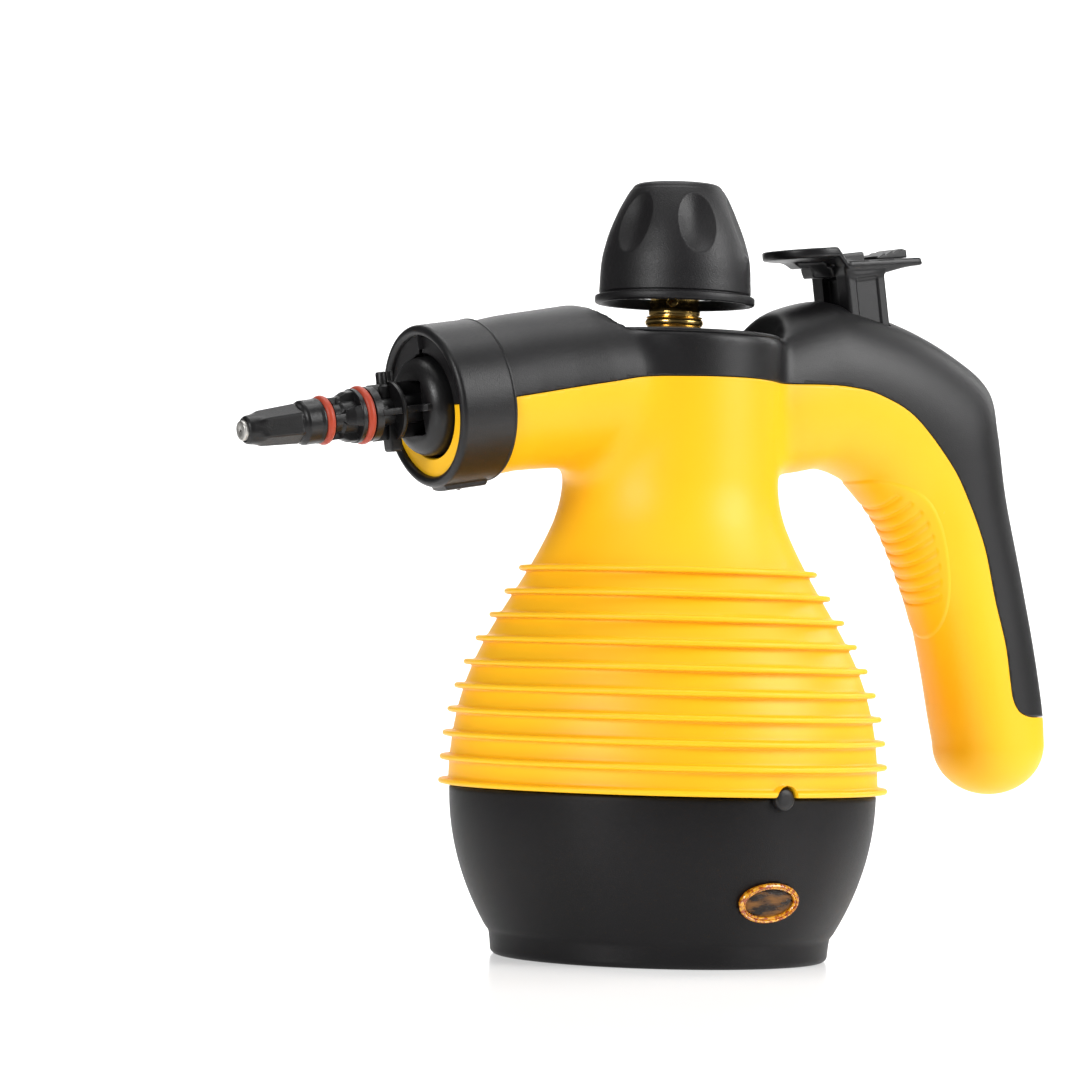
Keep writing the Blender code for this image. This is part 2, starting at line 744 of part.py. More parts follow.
def seam_line(shift=0.0):
    """The colour seam in XZ, from the spout over the column and down the handle, moved sideways by shift."""
    left = [(x * SPOUT_REACH, FLOOR_Z - z * SPOUT_DROP) for x, z in SEAM_LEFT_SHARES]
    right = [handle_point(*shares) for shares in SEAM_RIGHT_SHARES]
    line = smooth_route([spout_point(COLLAR_LENGTH)] + left, 2) + smooth_route(right, 2)
    line.append((HANDLE_REACH + OVERRUN, line[-1][1] - OVERRUN / 2))
    points = np.array(line)
    slope = np.gradient(points, axis=0)
    normal = np.stack((-slope[:, 1], slope[:, 0]), axis=1)
    normal /= np.linalg.norm(normal, axis=1)[:, None]
    return [tuple(p) for p in points + normal * shift]


def upper_region(name, shift):
    """Everything above the colour seam, as a thick slab across Y."""
    line = seam_line(shift)
    far = HANDLE_REACH + SPOUT_RADIUS
    high = CROWN_Z + SPOUT_RADIUS
    outline = line + [(far, line[-1][1]), (far, high), (line[0][0], high)]
    return extruded(name, outline, -BELLY_RADIUS, BELLY_RADIUS)


def recess(name, grow):
    """The open recess round the filler neck, above the column's floor."""
    low = FLOOR_Z - grow
    return rod(name, WAIST_RADIUS + TOUCH_GAP + grow, low, low + RECESS_DEPTH, BODY_SEGMENTS)


def make_shell():
    """The hollow plastic shell of belly, column, spout and handle, before it is split at the seam."""
    outer = turned("outer_pear", pear_profile(), BODY_SEGMENTS)
    join(outer, loft("outer_spout", spout_rings()), loft("outer_handle", handle_rings()))
    cut(outer, recess("recess_outer", 0.0))
    inner = turned("inner_pear", pear_inside(), BODY_SEGMENTS)
    join(inner, loft("inner_spout", spout_rings(WALL, INNER_LOFT_SEGMENTS)),
         loft("inner_handle", handle_rings(WALL, INNER_LOFT_SEGMENTS)))
    cut(inner, recess("recess_inner", WALL))
    cut(outer, inner)
    return solid_copy(outer, "whole_shell")


def grip_grooves():
    """Thin rods bent round the inner rail, which cut the thumb grip's grooves across it."""
    rings = handle_rings()[:len(HANDLE_STATION_SHARES)]
    count = len(rings[0])
    half = round(count * GROOVE_REACH_SHARE)
    inner = range(count // 2 - half, count // 2 + half + 1)
    first, last = (share * (len(rings) - 1) for share in GROOVE_STATION_SHARES)
    rods = []
    for k in range(GROOVE_COUNT):
        place = first + (last - first) * k / (GROOVE_COUNT - 1)
        near = int(place)
        path = [rings[near][i].lerp(rings[near + 1][i], place - near) for i in inner]
        rods.append(as_cutter(tube("grip_groove_" + str(k + 1), path, GROOVE_RADIUS, None)))
    return rods


def base_slope(z):
    """Lean of the base's outer wall at a height: the angle between its outward normal and the level."""
    step = FOOT_EDGE / 2
    return math.atan2(base_radius(z + step) - base_radius(z - step), 2 * step)


LENS_AXIS = empty_axis("lens_axis", (0.0, -base_radius(LENS_HEIGHT), LENS_HEIGHT),
                       (math.pi / 2 + base_slope(LENS_HEIGHT), 0.0, 0.0))
GLAND_AXIS = empty_axis("gland_axis", (base_radius(GLAND_HEIGHT), 0.0, GLAND_HEIGHT),
                        (0.0, math.pi / 2 + base_slope(GLAND_HEIGHT), 0.0))


def on_circle(radius, angle):
    return radius * math.cos(angle), radius * math.sin(angle)


def placed(obj, x=0.0, y=0.0, z=0.0):
    obj.location = (x, y, z)
    return obj


def screw(name, x, y, head_z, length, upward, material=STEEL):
    """A pan-head screw: head_z is the height of the head's bearing side, the shank runs length beyond it."""
    way = 1.0 if upward else -1.0
    far = -way * SCREW_HEAD_HEIGHT
    shank = rod(name, SCREW_SHANK_RADIUS, min(far / 2, way * length), max(far / 2, way * length), TINY_SEGMENTS,
                material)
    head = rod(name + "_head", SCREW_HEAD_RADIUS, min(far, 0.0), max(far, 0.0), TINY_SEGMENTS)
    slot = box(name + "_slot", (-SCREW_HEAD_RADIUS, -SCREW_SHANK_RADIUS / 4, -SCREW_HEAD_HEIGHT / 4),
               (SCREW_HEAD_RADIUS, SCREW_SHANK_RADIUS / 4, SCREW_HEAD_HEIGHT / 4))
    placed(shank, x, y, head_z)
    placed(head, x, y, head_z)
    placed(slot, x, y, head_z + far)
    join(shank, head)
    cut(shank, slot)
    return shank


# Casing: housing, top cover and base

def cover_screw_heights():
    """Seam height over the cover screw, and the handle's underside there."""
    line = np.array(seam_line())
    seam_z = float(np.interp(COVER_SCREW_PLACE, line[:12, 0], line[:12, 1]))
    stations = handle_stations()
    low = np.array([s[0] for s in stations])[:8]
    under_z = float(np.interp(COVER_SCREW_PLACE, low[:, 0], low[:, 1]))
    return seam_z, under_z


def hub_hole(name):
    return rod(name, HUB_RADIUS + SLIDE_GAP, -COLLAR_LENGTH, OVERRUN, ROUND_SEGMENTS, parent=SPOUT_AXIS)


def make_housing(shell):
    housing = solid_copy(shell, "body_housing", YELLOW)
    cut(housing, upper_region("above_seam_gap", -TOUCH_GAP), hub_hole("housing_hub_hole"))
    notch = rod("seam_notch", NOTCH_RADIUS, BELLY_RADIUS - WALL * 2, BELLY_RADIUS + RIB_HEIGHT + OVERRUN,
                TINY_SEGMENTS)
    notch.rotation_euler = (math.pi / 2, 0.0, 0.0)
    placed(notch, 0.0, 0.0, BASE_HEIGHT)
    cut(housing, notch)
    seam_z, under_z = cover_screw_heights()
    boss = rod("housing_boss", SCREW_WELL_RADIUS + SCREW_BOSS_WALL, under_z + WALL / 2, seam_z - TOUCH_GAP,
               SMALL_SEGMENTS)
    well = rod("housing_well", SCREW_WELL_RADIUS, under_z - WALL, seam_z - WALL * 2, SMALL_SEGMENTS)
    hole = rod("housing_screw_hole", SCREW_SHANK_RADIUS + TOUCH_GAP, under_z, seam_z + WALL, TINY_SEGMENTS)
    for piece in (boss, well, hole):
        placed(piece, COVER_SCREW_PLACE)
    join(housing, boss)
    cut(housing, well, hole)
    screw("cover_screw", COVER_SCREW_PLACE, 0.0, seam_z - WALL * 2 - TOUCH_GAP, WALL * 5, True)
    valve_low = valve_top() - VALVE_LENGTH - VALVE_ROOF / 2
    post = rod("valve_post", VALVE_BORE, valve_low - VALVE_RADIUS * 2, valve_low - TOUCH_GAP, SMALL_SEGMENTS,
               parent=BUTTON_AXIS)
    keep_common(post, loft("post_limit", handle_rings(WALL / 2)))
    join(housing, post)
    cut(housing, *grip_grooves())


def make_top_cover(shell):
    cover = solid_copy(shell, "top_cover", BLACK)
    keep_common(cover, upper_region("above_seam", 0.0))
    cut(cover, hub_hole("cover_hub_hole"))
    join(cover, rod("neck_boss", BOSS_RADIUS, FLOOR_Z - WALL / 2, FLOOR_Z + BOSS_HEIGHT, ROUND_SEGMENTS))
    cut(cover, rod("neck_hole", NECK_RADIUS + SLIDE_GAP, FLOOR_Z - WALL - OVERRUN,
                   FLOOR_Z + BOSS_HEIGHT + OVERRUN, ROUND_SEGMENTS))
    seam_z, _ = cover_screw_heights()
    roof = CROWN_Z - WALL / 2
    boss = placed(rod("cover_boss", SCREW_WELL_RADIUS + SCREW_BOSS_WALL, seam_z, roof, SMALL_SEGMENTS),
                  COVER_SCREW_PLACE)
    hole = placed(rod("cover_screw_hole", SCREW_SHANK_RADIUS + TOUCH_GAP, seam_z - WALL, seam_z + WALL * 4,
                      TINY_SEGMENTS), COVER_SCREW_PLACE)
    join(cover, boss)
    cut(cover, hole)
    slot = box("stem_slot", (-STEM_LENGTH / 2 - SLIDE_GAP, -STEM_WIDTH / 2 - SLIDE_GAP, -STEM_DEPTH - OVERRUN),
               (STEM_LENGTH / 2 + SLIDE_GAP, STEM_WIDTH / 2 + SLIDE_GAP, OVERRUN), parent=BUTTON_AXIS)
    cut(cover, slot)


def base_profile():
    """Bowl with a foot ring and a lap that stands inside the housing, from the axis round to the axis."""
    rim = BASE_HEIGHT - TOUCH_GAP
    lap = BELLY_RADIUS - WALL - TOUCH_GAP
    outside = [(lap, BASE_HEIGHT + LAP_HEIGHT), (lap, rim)]
    outside += [tuple(p) for p in base_curve()]
    outside += [(FOOT_RADIUS + FOOT_STEP / 3, FOOT_HEIGHT - FOOT_STEP * 2), (FOOT_RADIUS, FOOT_EDGE),
                (FOOT_RADIUS - FOOT_EDGE / 3, FOOT_EDGE / 3), (FOOT_RADIUS - FOOT_EDGE, 0.0), (0.0, 0.0)]
    inside = [(0.0, FLOOR_THICKNESS), (FOOT_RADIUS - WALL, FLOOR_THICKNESS)]
    inside += [(base_radius(z) - WALL, z) for z in np.linspace(FOOT_HEIGHT, BASE_HEIGHT - LAP_HEIGHT * 2, 3)]
    inside += [(lap - LAP_THICKNESS, BASE_HEIGHT - LAP_HEIGHT), (lap - LAP_THICKNESS, BASE_HEIGHT + LAP_HEIGHT)]
    return inside + outside


def make_base():
    base = turned("base_cover", base_profile(), BODY_SEGMENTS, BLACK)
    bump = rod("seam_bump", NOTCH_RADIUS - TOUCH_GAP, BELLY_RADIUS - WALL - LAP_THICKNESS,
               BELLY_RADIUS + RIB_HEIGHT / 3, TINY_SEGMENTS)
    bump.rotation_euler = (math.pi / 2, 0.0, 0.0)
    placed(bump, 0.0, 0.0, BASE_HEIGHT - TOUCH_GAP)
    join(base, bump)
    flange_low = FLANGE_Z - BOILER_FLANGE_THICKNESS
    shoulder = flange_low - WALL * 3
    for k in range(PILLAR_COUNT):
        x, y = on_circle(PILLAR_CIRCLE, math.pi / 3 + 2 * math.pi * k / PILLAR_COUNT)
        pillar = rod("pillar_" + str(k + 1), PILLAR_RADIUS, FLOOR_THICKNESS / 2, flange_low - TOUCH_GAP,
                     SMALL_SEGMENTS)
        well = rod("pillar_well_" + str(k + 1), PILLAR_RADIUS - WALL / 2, -OVERRUN, shoulder, SMALL_SEGMENTS)
        hole = rod("pillar_hole_" + str(k + 1), SCREW_SHANK_RADIUS + TOUCH_GAP, 0.0, FLANGE_Z, TINY_SEGMENTS)
        for piece in (pillar, well, hole):
            placed(piece, x, y)
        join(base, pillar)
        cut(base, well, hole)
        screw("base_screw_" + str(k + 1), x, y, shoulder - TOUCH_GAP,
              WALL * 3 + BOILER_FLANGE_THICKNESS * 0.6, True)
    lens_hole = loft("lens_hole", lens_rings(SLIDE_GAP))
    lens_hole.parent = LENS_AXIS
    cut(base, lens_hole)
    cut(base, rod("gland_hole", GLAND_RADIUS + TOUCH_GAP, -GLAND_LENGTH, OVERRUN, SMALL_SEGMENTS,
                  parent=GLAND_AXIS))


def oval_disc(half_width, half_height, z, count=LOFT_SEGMENTS):
    return [Vector((half_width * math.cos(2 * math.pi * i / count),
                    half_height * math.sin(2 * math.pi * i / count), z)) for i in range(count)]


def lens_rings(grow=0.0):
    """The lens's oval neck through the wall, grown by a clearance for its hole."""
    width = LENS_HALF_WIDTH - LENS_RIM + grow
    height = LENS_HALF_HEIGHT - LENS_RIM + grow
    low = -LENS_DEPTH - grow * 2
    high = OVERRUN if grow > 0.0 else 0.0
    return [oval_disc(width, height, low), oval_disc(width, height, high)]


def make_lens_and_lamp():
    seat = TOUCH_GAP * 2
    rings = lens_rings()[:1]
    rings.append(oval_disc(LENS_HALF_WIDTH - LENS_RIM, LENS_HALF_HEIGHT - LENS_RIM, seat))
    rings.append(oval_disc(LENS_HALF_WIDTH, LENS_HALF_HEIGHT, seat))
    rings.append(oval_disc(LENS_HALF_WIDTH, LENS_HALF_HEIGHT, seat + LENS_RIM * 0.4))
    rings.append(oval_disc(LENS_HALF_WIDTH - LENS_RIM / 2, LENS_HALF_HEIGHT - LENS_RIM / 2, seat + LENS_RIM))
    rings.append(oval_disc(LENS_HALF_WIDTH - LENS_RIM * 1.5, LENS_HALF_HEIGHT - LENS_RIM * 1.5,
                           seat + LENS_RIM))
    rings.append(oval_disc(LENS_HALF_WIDTH / 2, LENS_HALF_HEIGHT / 2, seat + LENS_RIM * 1.4))
    lens = loft("indicator_lens", rings, AMBER)
    lens.parent = LENS_AXIS
    lamp = turned("indicator_lamp",
                  [(0.0, LAMP_LENGTH / 2), (LAMP_RADIUS * 0.7, LAMP_LENGTH * 0.44),
                   (LAMP_RADIUS, LAMP_LENGTH * 0.3), (LAMP_RADIUS, -LAMP_LENGTH / 2), (0.0, -LAMP_LENGTH / 2)],
                  TINY_SEGMENTS, GLASS, LENS_AXIS)
    lamp.rotation_euler = (0.0, math.pi / 2, 0.0)
    placed(lamp, 0.0, 0.0, -LENS_DEPTH - LAMP_RADIUS - TOUCH_GAP)
    return lamp


def make_gland():
    seat = TOUCH_GAP * 2
    face = seat + GLAND_FLANGE_THICKNESS
    turned("cord_gland",
           [(GLAND_BORE, face), (GLAND_RADIUS, face), (GLAND_FLANGE_RADIUS, seat + GLAND_FLANGE_THICKNESS / 2),
            (GLAND_FLANGE_RADIUS, seat), (GLAND_RADIUS, seat), (GLAND_RADIUS, -GLAND_LENGTH),
            (GLAND_BORE, -GLAND_LENGTH)],
           SMALL_SEGMENTS, RUBBER, GLAND_AXIS, closed=True)


# Boiler and what is fixed to it

def boiler_angle(k):
    return math.pi / BOILER_SCREW_COUNT + 2 * math.pi * k / BOILER_SCREW_COUNT


def flange_holes(name, low, high):
    holes = []
    for k in range(BOILER_SCREW_COUNT):
        x, y = on_circle(BOILER_SCREW_CIRCLE, boiler_angle(k))
        hole = rod(name + str(k + 1), SCREW_SHANK_RADIUS + TOUCH_GAP, low, high, TINY_SEGMENTS)
        holes.append(placed(hole, x, y))
    return holes


def make_boiler():
    inner = BOILER_RADIUS - BOILER_WALL
    low = BOILER_BOTTOM
    lower = turned("boiler_lower", [
        (0.0, low + BOILER_WALL), (inner - BOILER_EDGE, low + BOILER_WALL),
        (inner - BOILER_EDGE * 0.3, low + BOILER_EDGE * 0.45),
        (inner, low + BOILER_EDGE), (inner, FLANGE_Z), (BOILER_FLANGE_RADIUS, FLANGE_Z),
        (BOILER_FLANGE_RADIUS, FLANGE_Z - BOILER_FLANGE_THICKNESS),
        (BOILER_RADIUS, FLANGE_Z - BOILER_FLANGE_THICKNESS),
        (BOILER_RADIUS, low + BOILER_EDGE), (BOILER_RADIUS - BOILER_EDGE * 0.3, low + BOILER_EDGE * 0.3),
        (BOILER_RADIUS - BOILER_EDGE, low), (0.0, low)], ROUND_SEGMENTS, ALUMINIUM)
    cut(lower, *flange_holes("lower_flange_hole_", FLANGE_Z - BOILER_FLANGE_THICKNESS - OVERRUN,
                             FLANGE_Z + OVERRUN))
    for k in range(PILLAR_COUNT):
        x, y = on_circle(PILLAR_CIRCLE, math.pi / 3 + 2 * math.pi * k / PILLAR_COUNT)
        cut(lower, placed(rod("blind_hole_" + str(k + 1), SCREW_SHANK_RADIUS + TOUCH_GAP,
                              FLANGE_Z - BOILER_FLANGE_THICKNESS - OVERRUN,
                              FLANGE_Z - BOILER_FLANGE_THICKNESS * 0.3, TINY_SEGMENTS), x, y))
    top = BOILER_TOP_Z
    boss_top = top + BOILER_BOSS_HEIGHT
    upper = turned("boiler_upper", [
        (NECK_RADIUS + TOUCH_GAP, boss_top), (BOILER_BOSS_RADIUS, boss_top), (BOILER_BOSS_RADIUS, top),
        (BOILER_RADIUS - BOILER_EDGE, top), (BOILER_RADIUS - BOILER_EDGE * 0.3, top - BOILER_EDGE * 0.3),
        (BOILER_RADIUS, top - BOILER_EDGE), (BOILER_RADIUS, UPPER_Z + BOILER_FLANGE_THICKNESS),
        (BOILER_FLANGE_RADIUS, UPPER_Z + BOILER_FLANGE_THICKNESS), (BOILER_FLANGE_RADIUS, UPPER_Z),
        (inner, UPPER_Z), (inner, top - BOILER_EDGE), (inner - BOILER_EDGE * 0.3, top - BOILER_EDGE * 0.45),
        (inner - BOILER_EDGE, top - BOILER_WALL), (NECK_BORE, top - BOILER_WALL), (NECK_BORE, top),
        (NECK_RADIUS + TOUCH_GAP, top)], ROUND_SEGMENTS, ALUMINIUM, closed=True)
    cut(upper, *flange_holes("upper_flange_hole_", UPPER_Z - OVERRUN,
                             UPPER_Z + BOILER_FLANGE_THICKNESS + OVERRUN))
    cut(upper, placed(rod("inlet_hole", PIPE_RADIUS + SLIDE_GAP, top - BOILER_WALL - OVERRUN, top + OVERRUN,
                          TINY_SEGMENTS), *inlet_place()))
    gasket_outer = BOILER_SCREW_CIRCLE - SCREW_HEAD_RADIUS
    low, high = FLANGE_Z + TOUCH_GAP, FLANGE_Z + TOUCH_GAP + BOILER_GASKET_THICKNESS
    turned("boiler_gasket", [(inner, high), (gasket_outer, high), (gasket_outer, low), (inner, low)],
           ROUND_SEGMENTS, SILICONE, closed=True)
    seat = UPPER_Z + BOILER_FLANGE_THICKNESS + TOUCH_GAP
    for k in range(BOILER_SCREW_COUNT):
        x, y = on_circle(BOILER_SCREW_CIRCLE, boiler_angle(k))
        screw("boiler_screw_" + str(k + 1), x, y, seat, seat - FLANGE_Z + BOILER_FLANGE_THICKNESS * 0.8, False)


def inlet_place():
    return BOILER_RADIUS / 2, BOILER_RADIUS / 4


def make_heater():
    top = BOILER_BOTTOM - TOUCH_GAP
    half = ELEMENT_OPENING / 2
    ring = []
    for i in range(ELEMENT_STEPS + 1):
        angle = half + (2 * math.pi - 2 * half) * i / ELEMENT_STEPS
        ring.append((*on_circle(ELEMENT_CIRCLE, angle), top - ELEMENT_RADIUS))
    tube("heating_element", ring, ELEMENT_RADIUS, STEEL)
    step, foot = top - THERMOSTAT_HEIGHT * 0.4, top - THERMOSTAT_HEIGHT
    turned("thermostat", [(0.0, top), (THERMOSTAT_RADIUS, top), (THERMOSTAT_RADIUS, step),
                          (THERMOSTAT_RADIUS * 0.7, step), (THERMOSTAT_RADIUS * 0.7, foot), (0.0, foot)],
           SMALL_SEGMENTS, BLOCK_WHITE)
    fuse = rod("thermal_fuse", FUSE_RADIUS, -FUSE_LENGTH / 2, FUSE_LENGTH / 2, TINY_SEGMENTS, STEEL)
    fuse.rotation_euler = (0.0, math.pi / 2, 0.0)
    placed(fuse, 0.0, FUSE_PLACE, top - FUSE_RADIUS)
    floor = FLOOR_THICKNESS + TOUCH_GAP
    block = box("terminal_block", (BLOCK_PLACE - BLOCK_LENGTH / 2, -BLOCK_WIDTH / 2, floor),
                (BLOCK_PLACE + BLOCK_LENGTH / 2, BLOCK_WIDTH / 2, floor + BLOCK_HEIGHT), BLOCK_WHITE)
    for side in (-1, 1):
        well = placed(rod("block_well_" + ("a" if side < 0 else "b"), FUSE_RADIUS, floor + BLOCK_HEIGHT / 2,
                          floor + BLOCK_HEIGHT + OVERRUN, TINY_SEGMENTS), BLOCK_PLACE, side * BLOCK_WIDTH / 4)
        cut(block, well)
    for side in (-1, 1):
        end = on_circle(ELEMENT_CIRCLE, side * half)
        gap = ELEMENT_RADIUS / 3
        start = (end[0] + gap, end[1] - side * (gap + WIRE_RADIUS), top - ELEMENT_RADIUS)
        goal = (BLOCK_PLACE - BLOCK_LENGTH / 2 - TOUCH_GAP, side * BLOCK_WIDTH / 4, floor + BLOCK_HEIGHT / 2)
        lead = (goal[0] - WIRE_RADIUS * 3, goal[1], goal[2])
        bend = ((start[0] + lead[0]) / 2, start[1] - side * WIRE_RADIUS, (start[2] + lead[2]) / 2 + WIRE_RADIUS)
        tube("element_wire_" + ("a" if side < 0 else "b"), smooth_route([start, bend, lead], 3) + [goal],
             WIRE_RADIUS, WIRE_RED, resolution=0)


def make_lamp_wires(lamp):
    """Two sleeved leads from the lamp's foot down to the floor and inside the pillars to the terminal block."""
    bpy.context.view_layer.update()
    foot = lamp.matrix_world @ Vector((0.0, 0.0, -LAMP_LENGTH / 2 - TOUCH_GAP))
    side = -BLOCK_WIDTH / 2 - TOUCH_GAP
    for k in range(2):
        spread = WIRE_RADIUS * 3 * k
        level = FLOOR_THICKNESS + WIRE_RADIUS * 3 + spread
        start = (foot.x, foot.y + LAMP_RADIUS * (0.5 - k), foot.z)
        route = [start, (start[0] - LAMP_RADIUS / 2 - spread, start[1], start[2]),
                 (start[0] - LAMP_RADIUS - spread, start[1] + LAMP_RADIUS, (start[2] + level) / 2)]
        for degrees in WIRE_ANGLES:
            route.append((*on_circle(WIRE_CIRCLE, math.radians(degrees)), level))
        goal_x = BLOCK_PLACE + BLOCK_LENGTH * (0.3 * k - 0.15)
        route += [(goal_x, side - WIRE_RADIUS * 4, level), (goal_x, side, level)]
        tube("lamp_wire_" + "ab"[k], smooth_route(route[:-1], 1) + route[-1:], WIRE_RADIUS, WIRE_RED,
             resolution=0)


# Filler neck and safety cap

def make_neck():
    flange_top = FLOOR_Z - WALL - NECK_SEAL_THICKNESS - 2 * TOUCH_GAP
    flange_low = flange_top - NECK_FLANGE_THICKNESS
    turned("filler_neck", [
        (NECK_BORE, NECK_TOP_Z), (NECK_RADIUS, NECK_TOP_Z), (NECK_RADIUS, flange_top),
        (NECK_FLANGE_RADIUS, flange_top),
        (NECK_FLANGE_RADIUS, flange_low), (NECK_RADIUS, flange_low), (NECK_RADIUS, BOILER_TOP_Z + TOUCH_GAP),
        (NECK_BORE, BOILER_TOP_Z + TOUCH_GAP)], ROUND_SEGMENTS, BRASS, closed=True)
    low, high = flange_top + TOUCH_GAP, flange_top + TOUCH_GAP + NECK_SEAL_THICKNESS
    turned("neck_seal", [(NECK_RADIUS + TOUCH_GAP, high), (NECK_FLANGE_RADIUS, high), (NECK_FLANGE_RADIUS, low),
                         (NECK_RADIUS + TOUCH_GAP, low)], ROUND_SEGMENTS, SILICONE, closed=True)


def core_head_low():
    return CORE_FLANGE_HEIGHT + CORE_BODY_HEIGHT


def make_core():
    """Brass core: threaded plug, sealing flange, body with the vent, driving head and shank."""
    flange, body = CORE_FLANGE_HEIGHT, core_head_low()
    head = body + CORE_HEAD_HEIGHT
    shank = head + CORE_SHANK_HEIGHT
    groove = CORE_FLANGE_HEIGHT / 6
    plug = NECK_BORE - SLIDE_GAP
    step = CORE_BORE - CORE_ORIFICE
    core = turned("cap_core", [
        (CORE_BORE, shank), (CORE_SHANK_RADIUS, shank), (CORE_SHANK_RADIUS, head), (CORE_HEAD_RADIUS, head),
        (CORE_HEAD_RADIUS, body), (CORE_RADIUS, body), (CORE_RADIUS, flange + groove),
        (CORE_RADIUS - groove / 2, flange + groove), (CORE_RADIUS - groove / 2, flange),
        (CORE_FLANGE_RADIUS - groove / 2, flange), (CORE_FLANGE_RADIUS, flange - groove / 2),
        (CORE_FLANGE_RADIUS, flange * 0.55), (CORE_RADIUS, flange * 0.45), (CORE_RADIUS, flange * 0.35),
        (CORE_FLANGE_RADIUS, flange * 0.25), (CORE_FLANGE_RADIUS, 0.0), (plug, 0.0),
        (plug, -CORE_PLUG_LENGTH + groove), (plug - groove, -CORE_PLUG_LENGTH),
        (CORE_ORIFICE, -CORE_PLUG_LENGTH), (CORE_ORIFICE, -CORE_PLUG_LENGTH + CORE_FLANGE_HEIGHT),
        (CORE_BORE, -CORE_PLUG_LENGTH + CORE_FLANGE_HEIGHT + step)],
        ROUND_SEGMENTS, BRASS, CAP_AXIS, closed=True)
    vent = rod("vent_hole", VENT_RADIUS, 0.0, CORE_HEAD_RADIUS * 2, TINY_SEGMENTS, parent=CAP_AXIS)
    vent.rotation_euler = (math.pi / 2, 0.0, VENT_TURN)
    placed(vent, 0.0, 0.0, flange + CORE_BODY_HEIGHT / 2)
    cut(core, vent)
    seat = -CORE_PLUG_LENGTH + CORE_FLANGE_HEIGHT + step
    poppet_low = seat + TOUCH_GAP * 2
    poppet_high = poppet_low + RELIEF_LENGTH
    collar_z = poppet_high - RELIEF_LENGTH * 0.3
    turned("relief_poppet", [
        (0.0, poppet_high), (RELIEF_RADIUS * 0.4, poppet_high), (RELIEF_RADIUS * 0.4, collar_z),
        (RELIEF_RADIUS, collar_z), (RELIEF_RADIUS, poppet_low + step * 0.6),
        (CORE_ORIFICE, poppet_low - step * 0.35), (0.0, poppet_low - step * 0.35)],
        TINY_SEGMENTS, STEEL, CAP_AXIS)
    screw_low = head - CORE_HEAD_HEIGHT / 2
    spring("relief_spring", RELIEF_RADIUS * 0.78, RELIEF_RADIUS * 0.15,
           collar_z + TOUCH_GAP, screw_low - TOUCH_GAP, SPRING_TURNS, CAP_AXIS)
    plug = rod("relief_screw", CORE_BORE - TOUCH_GAP, screw_low, shank, TINY_SEGMENTS, BRASS, CAP_AXIS)
    slot = box("relief_screw_slot", (-CORE_BORE, -SCREW_SHANK_RADIUS / 4, shank - SCREW_HEAD_HEIGHT / 2),
               (CORE_BORE, SCREW_SHANK_RADIUS / 4, shank + OVERRUN), parent=CAP_AXIS)
    cut(plug, slot)
    turned("cap_gasket", [
        (NECK_BORE, -TOUCH_GAP), (CORE_FLANGE_RADIUS, -TOUCH_GAP),
        (CORE_FLANGE_RADIUS, -TOUCH_GAP - GASKET_THICKNESS),
        (NECK_BORE, -TOUCH_GAP - GASKET_THICKNESS)], ROUND_SEGMENTS, SILICONE, CAP_AXIS, closed=True)


def cap_profile():
    """The knob's outer dome down to its flared rim, then its hollow and the sleeve on the core."""
    rim = CAP_RISE
    top = rim + CAP_HEIGHT
    groove = CAP_RIM_HEIGHT / 5
    side = bezier((CAP_SHOULDER, rim + CAP_RIM_HEIGHT + groove), (CAP_SHOULDER, rim + CAP_HEIGHT * 0.47),
                  (CAP_SHOULDER * 0.84, rim + CAP_HEIGHT * 0.73),
                  (CAP_TOP_RADIUS * 1.05, rim + CAP_HEIGHT * 0.95),
                  CAP_STEPS)
    bore = CORE_HEAD_RADIUS + SLIDE_GAP
    sleeve_low = core_head_low() - RETAINER_THICKNESS - TOUCH_GAP * 2
    post_low = core_head_low() + CORE_HEAD_HEIGHT + CORE_SHANK_HEIGHT + CAP_TRAVEL + SLIDE_GAP * 2
    roof = top - CAP_WALL * 1.4
    points = [(0.0, top), (CAP_TOP_RADIUS * 0.78, top - groove), (CAP_TOP_RADIUS * 0.95, top - groove * 2)]
    points += [tuple(p) for p in side[::-1]]
    points += [(CAP_SHOULDER - groove, rim + CAP_RIM_HEIGHT + groove),
               (CAP_SHOULDER - groove, rim + CAP_RIM_HEIGHT), (CAP_SHOULDER + groove, rim + CAP_RIM_HEIGHT),
               (CAP_RADIUS, rim + groove), (CAP_RADIUS - groove, rim),
               (CAP_RADIUS - CAP_WALL, rim), (CAP_RADIUS - CAP_WALL * 1.6, rim + CAP_RIM_HEIGHT * 2),
               (CAP_SHOULDER * 0.68, rim + CAP_HEIGHT * 0.6), (CAP_SLEEVE_RADIUS + CAP_WALL / 2, roof),
               (CAP_SLEEVE_RADIUS, roof - CAP_WALL), (CAP_SLEEVE_RADIUS, sleeve_low),
               (CAP_SLEEVE_RADIUS - CAP_WALL * 0.4, sleeve_low),
               (CAP_SLEEVE_RADIUS - CAP_WALL * 0.4, core_head_low()),
               (bore, core_head_low()), (bore, post_low), (0.0, post_low)]
    return points


